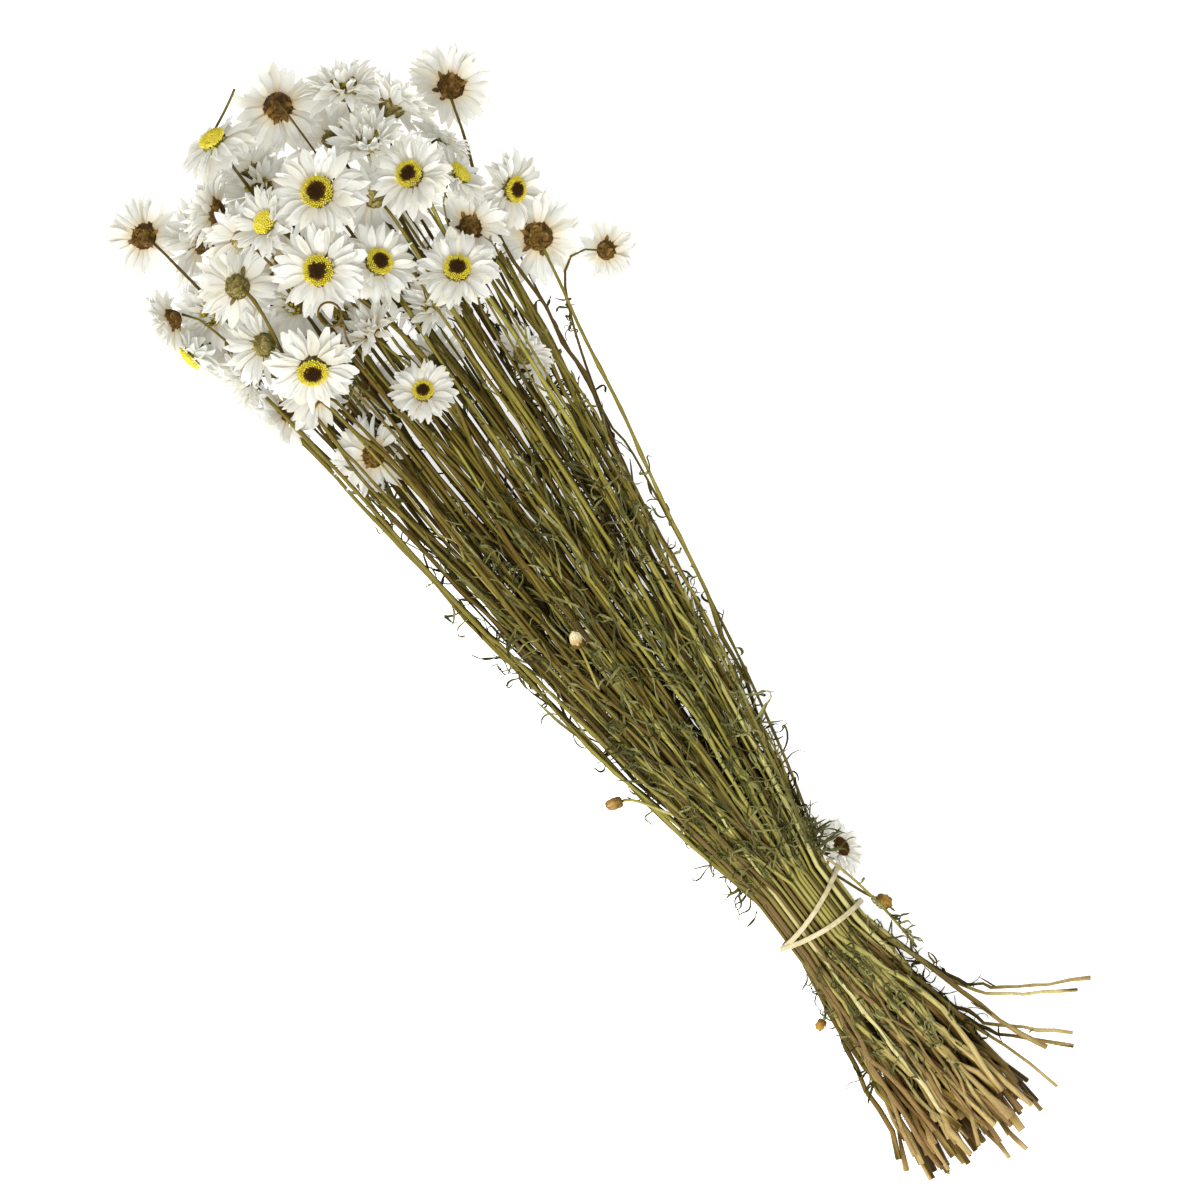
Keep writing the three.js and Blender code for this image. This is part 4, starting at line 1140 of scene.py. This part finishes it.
CUP_LAYERS = [
    (-1.3, 5.4, 18, 0, 1.0, 4.7, (pointed, broad)),
    (-0.7, 5.6, 18, 7, 1.0, 4.5, (pointed, broad, narrow)),
    (0.0, 5.7, 16, 15, 0.95, 4.0, (pointed, narrow)),
    (0.6, 5.8, 13, 24, 0.84, 3.4, (narrow, pointed)),
    (1.1, 5.9, 10, 36, 0.66, 2.6, (narrow,)),
    (1.9, 3.4, 11, 48, 0.56, 3.0, (narrow,)),
]
TRIAL_BENDS = (0, 6, -6, 12, -12, 19, -19, 27, -27, 36, -36, 46)

# Dry bract paper is white, stiff and lets some light through. Its fibres run lengthwise, about
# 0.3 mm apart, and its claw is brown: partly its own stain, partly painted shade for the dark
# slits between the crowded feet of the petals.
FIBRES = (16, 1.1, 1)  # across a petal and along it
CLAW_STAIN_AND_SHADE = {"face": 0.25, "golden face": 0.15, "olive cup": 0.3, "brown cup": 0.6, "tan cup": 0.65}
paper, tree, shader = start_material("white_papery_bract")
chart = add_node(tree, "UVMap", uv_map="blade")
along = add_node(tree, "SeparateXYZ", {0: chart}, output="Y")
tone = add_node(tree, "Attribute", output="Fac", attribute_name="tone")
claw = add_node(tree, "Attribute", output="Fac", attribute_name="claw")
fibres_at = add_node(tree, "Mapping", {"Vector": chart, "Scale": FIBRES})
shifted = {"Vector": fibres_at, "W": tone, "Scale": 1.0, "Detail": 4.0}
fibres = add_node(tree, "TexNoise", shifted, noise_dimensions="4D")
white = add_node(tree, "ValToRGB", {"Fac": tone}, [(0.0, "#BCBCB5"), (0.6, "#BBB9AF"), (1.0, "#B8B4A3")])
fibrous = shaded(tree, white, fibres, 0.5, [(0.3, "#E3E2DA"), (0.62, "#FFFFFF")])
near_foot = add_node(tree, "MapRange", {0: along, 1: 0.4, 2: 0.06})
claw_share_and_shade = add_node(tree, "Math", {0: near_foot, 1: claw}, operation="MULTIPLY")
claw_colour_and_shade = {0: claw_share_and_shade, 6: fibrous, 7: paint("#AE965A")}
petal_colour = add_node(tree, "Mix", claw_colour_and_shade, output=2, data_type="RGBA")
relief = add_node(tree, "Bump", {"Height": fibres, "Strength": 0.35, "Distance": 0.0004})
set_inputs(tree, shader, {"Base Color": petal_colour, "Normal": relief, "Roughness": 0.5})
# Painted light: the petals glow faintly in their own colour, so that their shade stays pale; their base
# colours are greyer to make up for it.
set_inputs(tree, shader, {"Emission Color": petal_colour, "Emission Strength": 0.3})
set_inputs(tree, shader, {"Subsurface Weight": 0.55, "Subsurface Radius": (1.0, 0.95, 0.85)})
set_inputs(tree, shader, {"Subsurface Scale": 0.003})


def surface_tree(piece):
    """A piece's surface in millimetres from the tie, to try others against."""
    points = [vertex.co * 1000 - TIE for vertex in piece.data.vertices]
    return BVHTree.FromPolygons(points, [polygon.vertices for polygon in piece.data.polygons])


def grow_petal(flower, blade, turn, layer, trees):
    """One petal at the first angle near the wished one that is clear of what is round it, or None."""
    height, distance, _, angle, reach, width, _ = layer
    length = (flower.radius + 0.8 - distance * flower.size) * reach * chance.uniform(0.8, 1.06)
    width = width * flower.size * chance.uniform(0.7, 1.2)
    wish = angle + flower.closed + chance.normal(0, 5)
    if flower.look.endswith("cup"):
        wish += 0.7 * max(0, angle - 10) + chance.normal(0, 8)
        hidden = flower.middle[2] < 20 and abs(flower.middle[1]) < 60
        length *= 1.5 if hidden else 1.06
    droop = chance.normal(-16, 16)
    rows = blade["rows"]
    curl = np.linspace(-0.4, 1.3, rows) * droop * 2 / rows + 12 / rows * np.linspace(1, -1, rows)
    curl = curl + chance.normal(0, 3.5, rows)
    twist = chance.normal(0, 28)
    cup = chance.normal(0.45, 0.6) * flower.size
    roll = math.radians(chance.normal(0, 14))
    root = flower.at(turn, distance, height + chance.normal(0, 0.15))
    for bend in TRIAL_BENDS:
        ahead, up = flower.raised(turn, wish + bend)
        up = up * math.cos(roll) + np.cross(ahead, up) * math.sin(roll)
        points = lay_blade(blade, root, ahead, up, length, width, curl, twist, cup)
        if points[:, 2].min() < 0.2:
            continue
        trial = BVHTree.FromPolygons(points.tolist(), blade["faces"].tolist())
        if not any(trial.overlap(other) for other in trees):
            return points
    return None


stem_tree = surface_tree(stems)
cup_trees = {flower.number: surface_tree(cups[flower.number]) for flower in heads}
petal_trees = {}
for flower in heads:
    trees = [stem_tree]
    beside = []
    for other in heads:
        apart = np.linalg.norm(other.middle - flower.middle)
        if other is not flower and apart < other.radius + flower.radius + 2:
            beside.append(other.number)
    trees += [cup_trees[number] for number in beside]
    trees += [petal_trees[number] for number in beside if number in petal_trees]
    petals = []
    for layer in CUP_LAYERS if flower.look.endswith("cup") else FACE_LAYERS:
        count, blades = layer[2], layer[6]
        start = chance.uniform(0, 2 * math.pi)
        for k in range(count):
            turn = start + 2 * math.pi * k / count + chance.normal(0, 0.12)
            blade = blades[chance.integers(len(blades))]
            points = grow_petal(flower, blade, turn, layer, trees)
            if points is not None:
                numbers = {"tone": chance.random(), "claw": CLAW_STAIN_AND_SHADE[flower.look]}
                petals.append((points, blade, numbers))
    piece = make_piece(f"petals_{flower.number}", petals, paper)
    if flower not in under_heads:
        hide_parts(f"bloom_{flower.number}")
    petal_trees[flower.number] = surface_tree(piece)

# Buds: heads that dried before they opened, on short side shoots. Pale scales close over each
# other to a blunt point, and short brown ones hold them at the foot.
BUD_RINGS = [
    # height, distance from the axis, scales, degrees of rise, reach; in lengths of the bud
    (0.1, 0.26, 7, 70, 0.62),
    (0.28, 0.33, 8, 86, 0.6),
    (0.45, 0.28, 7, 100, 0.55),
]
SEPAL_RINGS = [(-0.08, 0.14, 6, 40, 0.34), (-0.04, 0.3, 8, 74, 0.44)]
BUD_LOOKS = [
    # way it points, degrees that its scales stand open, colour
    ((0.9, -0.28, 0.3), 0, "cream"),
    ((0.3, 0.9, 0.3), 20, "straw"),
    ((-0.8, -0.5, 0.2), 34, "brown"),
    ((-0.4, 0.9, 0.1), 30, "brown"),
]
CORE_SHARE = 1 / 22  # size of the core for each millimetre of the bud
sepal_skin = papery("brown_papery_sepal", "#54400F", "#80642A", "#AC8E54")
bud_skins = {
    "cream": papery("cream_papery_scale", "#B99A5C", "#EADDB0", "#F4EED4"),
    "straw": papery("straw_papery_scale", "#74501E", "#B48E4E", "#D8BE86"),
    "brown": papery("brown_papery_scale", "#74521C", "#B48C3C", "#D2B470"),
}


def bud_parts(bud, length, rings, spread):
    """The scales of one bud, ring by ring, over a small core."""
    core_points = bud.middle + (place_core(bud) - bud.middle) * (length * CORE_SHARE)
    parts = [(core_points + bud.facing * length * 0.42, core_shape, {"tone": 0.5})]
    for height, distance, count, rise, reach in rings:
        for k in range(count):
            turn = 2 * math.pi * k / count + height * 20 + chance.normal(0, 0.1)
            ahead, up = bud.raised(turn, rise - spread + chance.normal(0, 6))
            root = bud.middle + bud.spoke(turn) * distance * length + bud.facing * height * length
            curl = np.full(3, 17.0) + chance.normal(0, 5, 3)
            reach_now = reach * length * chance.uniform(0.85, 1.1)
            points = lay_blade(scale_blade, root, ahead, up, reach_now, 0.4 * length, curl, cup=0.3)
            parts.append((points, scale_blade, {"tone": chance.uniform(0.45, 1)}))
    return parts


for i, ((place, _, length), (way, spread, colour)) in enumerate(zip(BUDS, BUD_LOOKS)):
    bud = Flower(i + 1, (*place, *way, USUAL_RADIUS, 0, "olive cup"))
    pale = bud_parts(bud, length, BUD_RINGS, spread)
    pieces = [make_piece(f"closed_bud_{i + 1}", pale, bud_skins[colour])]
    short = bud_parts(bud, length, SEPAL_RINGS, spread)
    pieces.append(make_piece(f"bud_sepals_{i + 1}", short, sepal_skin))
    if f"bud_{i + 1}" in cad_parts:
        for piece in pieces:
            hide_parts(f"bud_{i + 1}")

low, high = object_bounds()
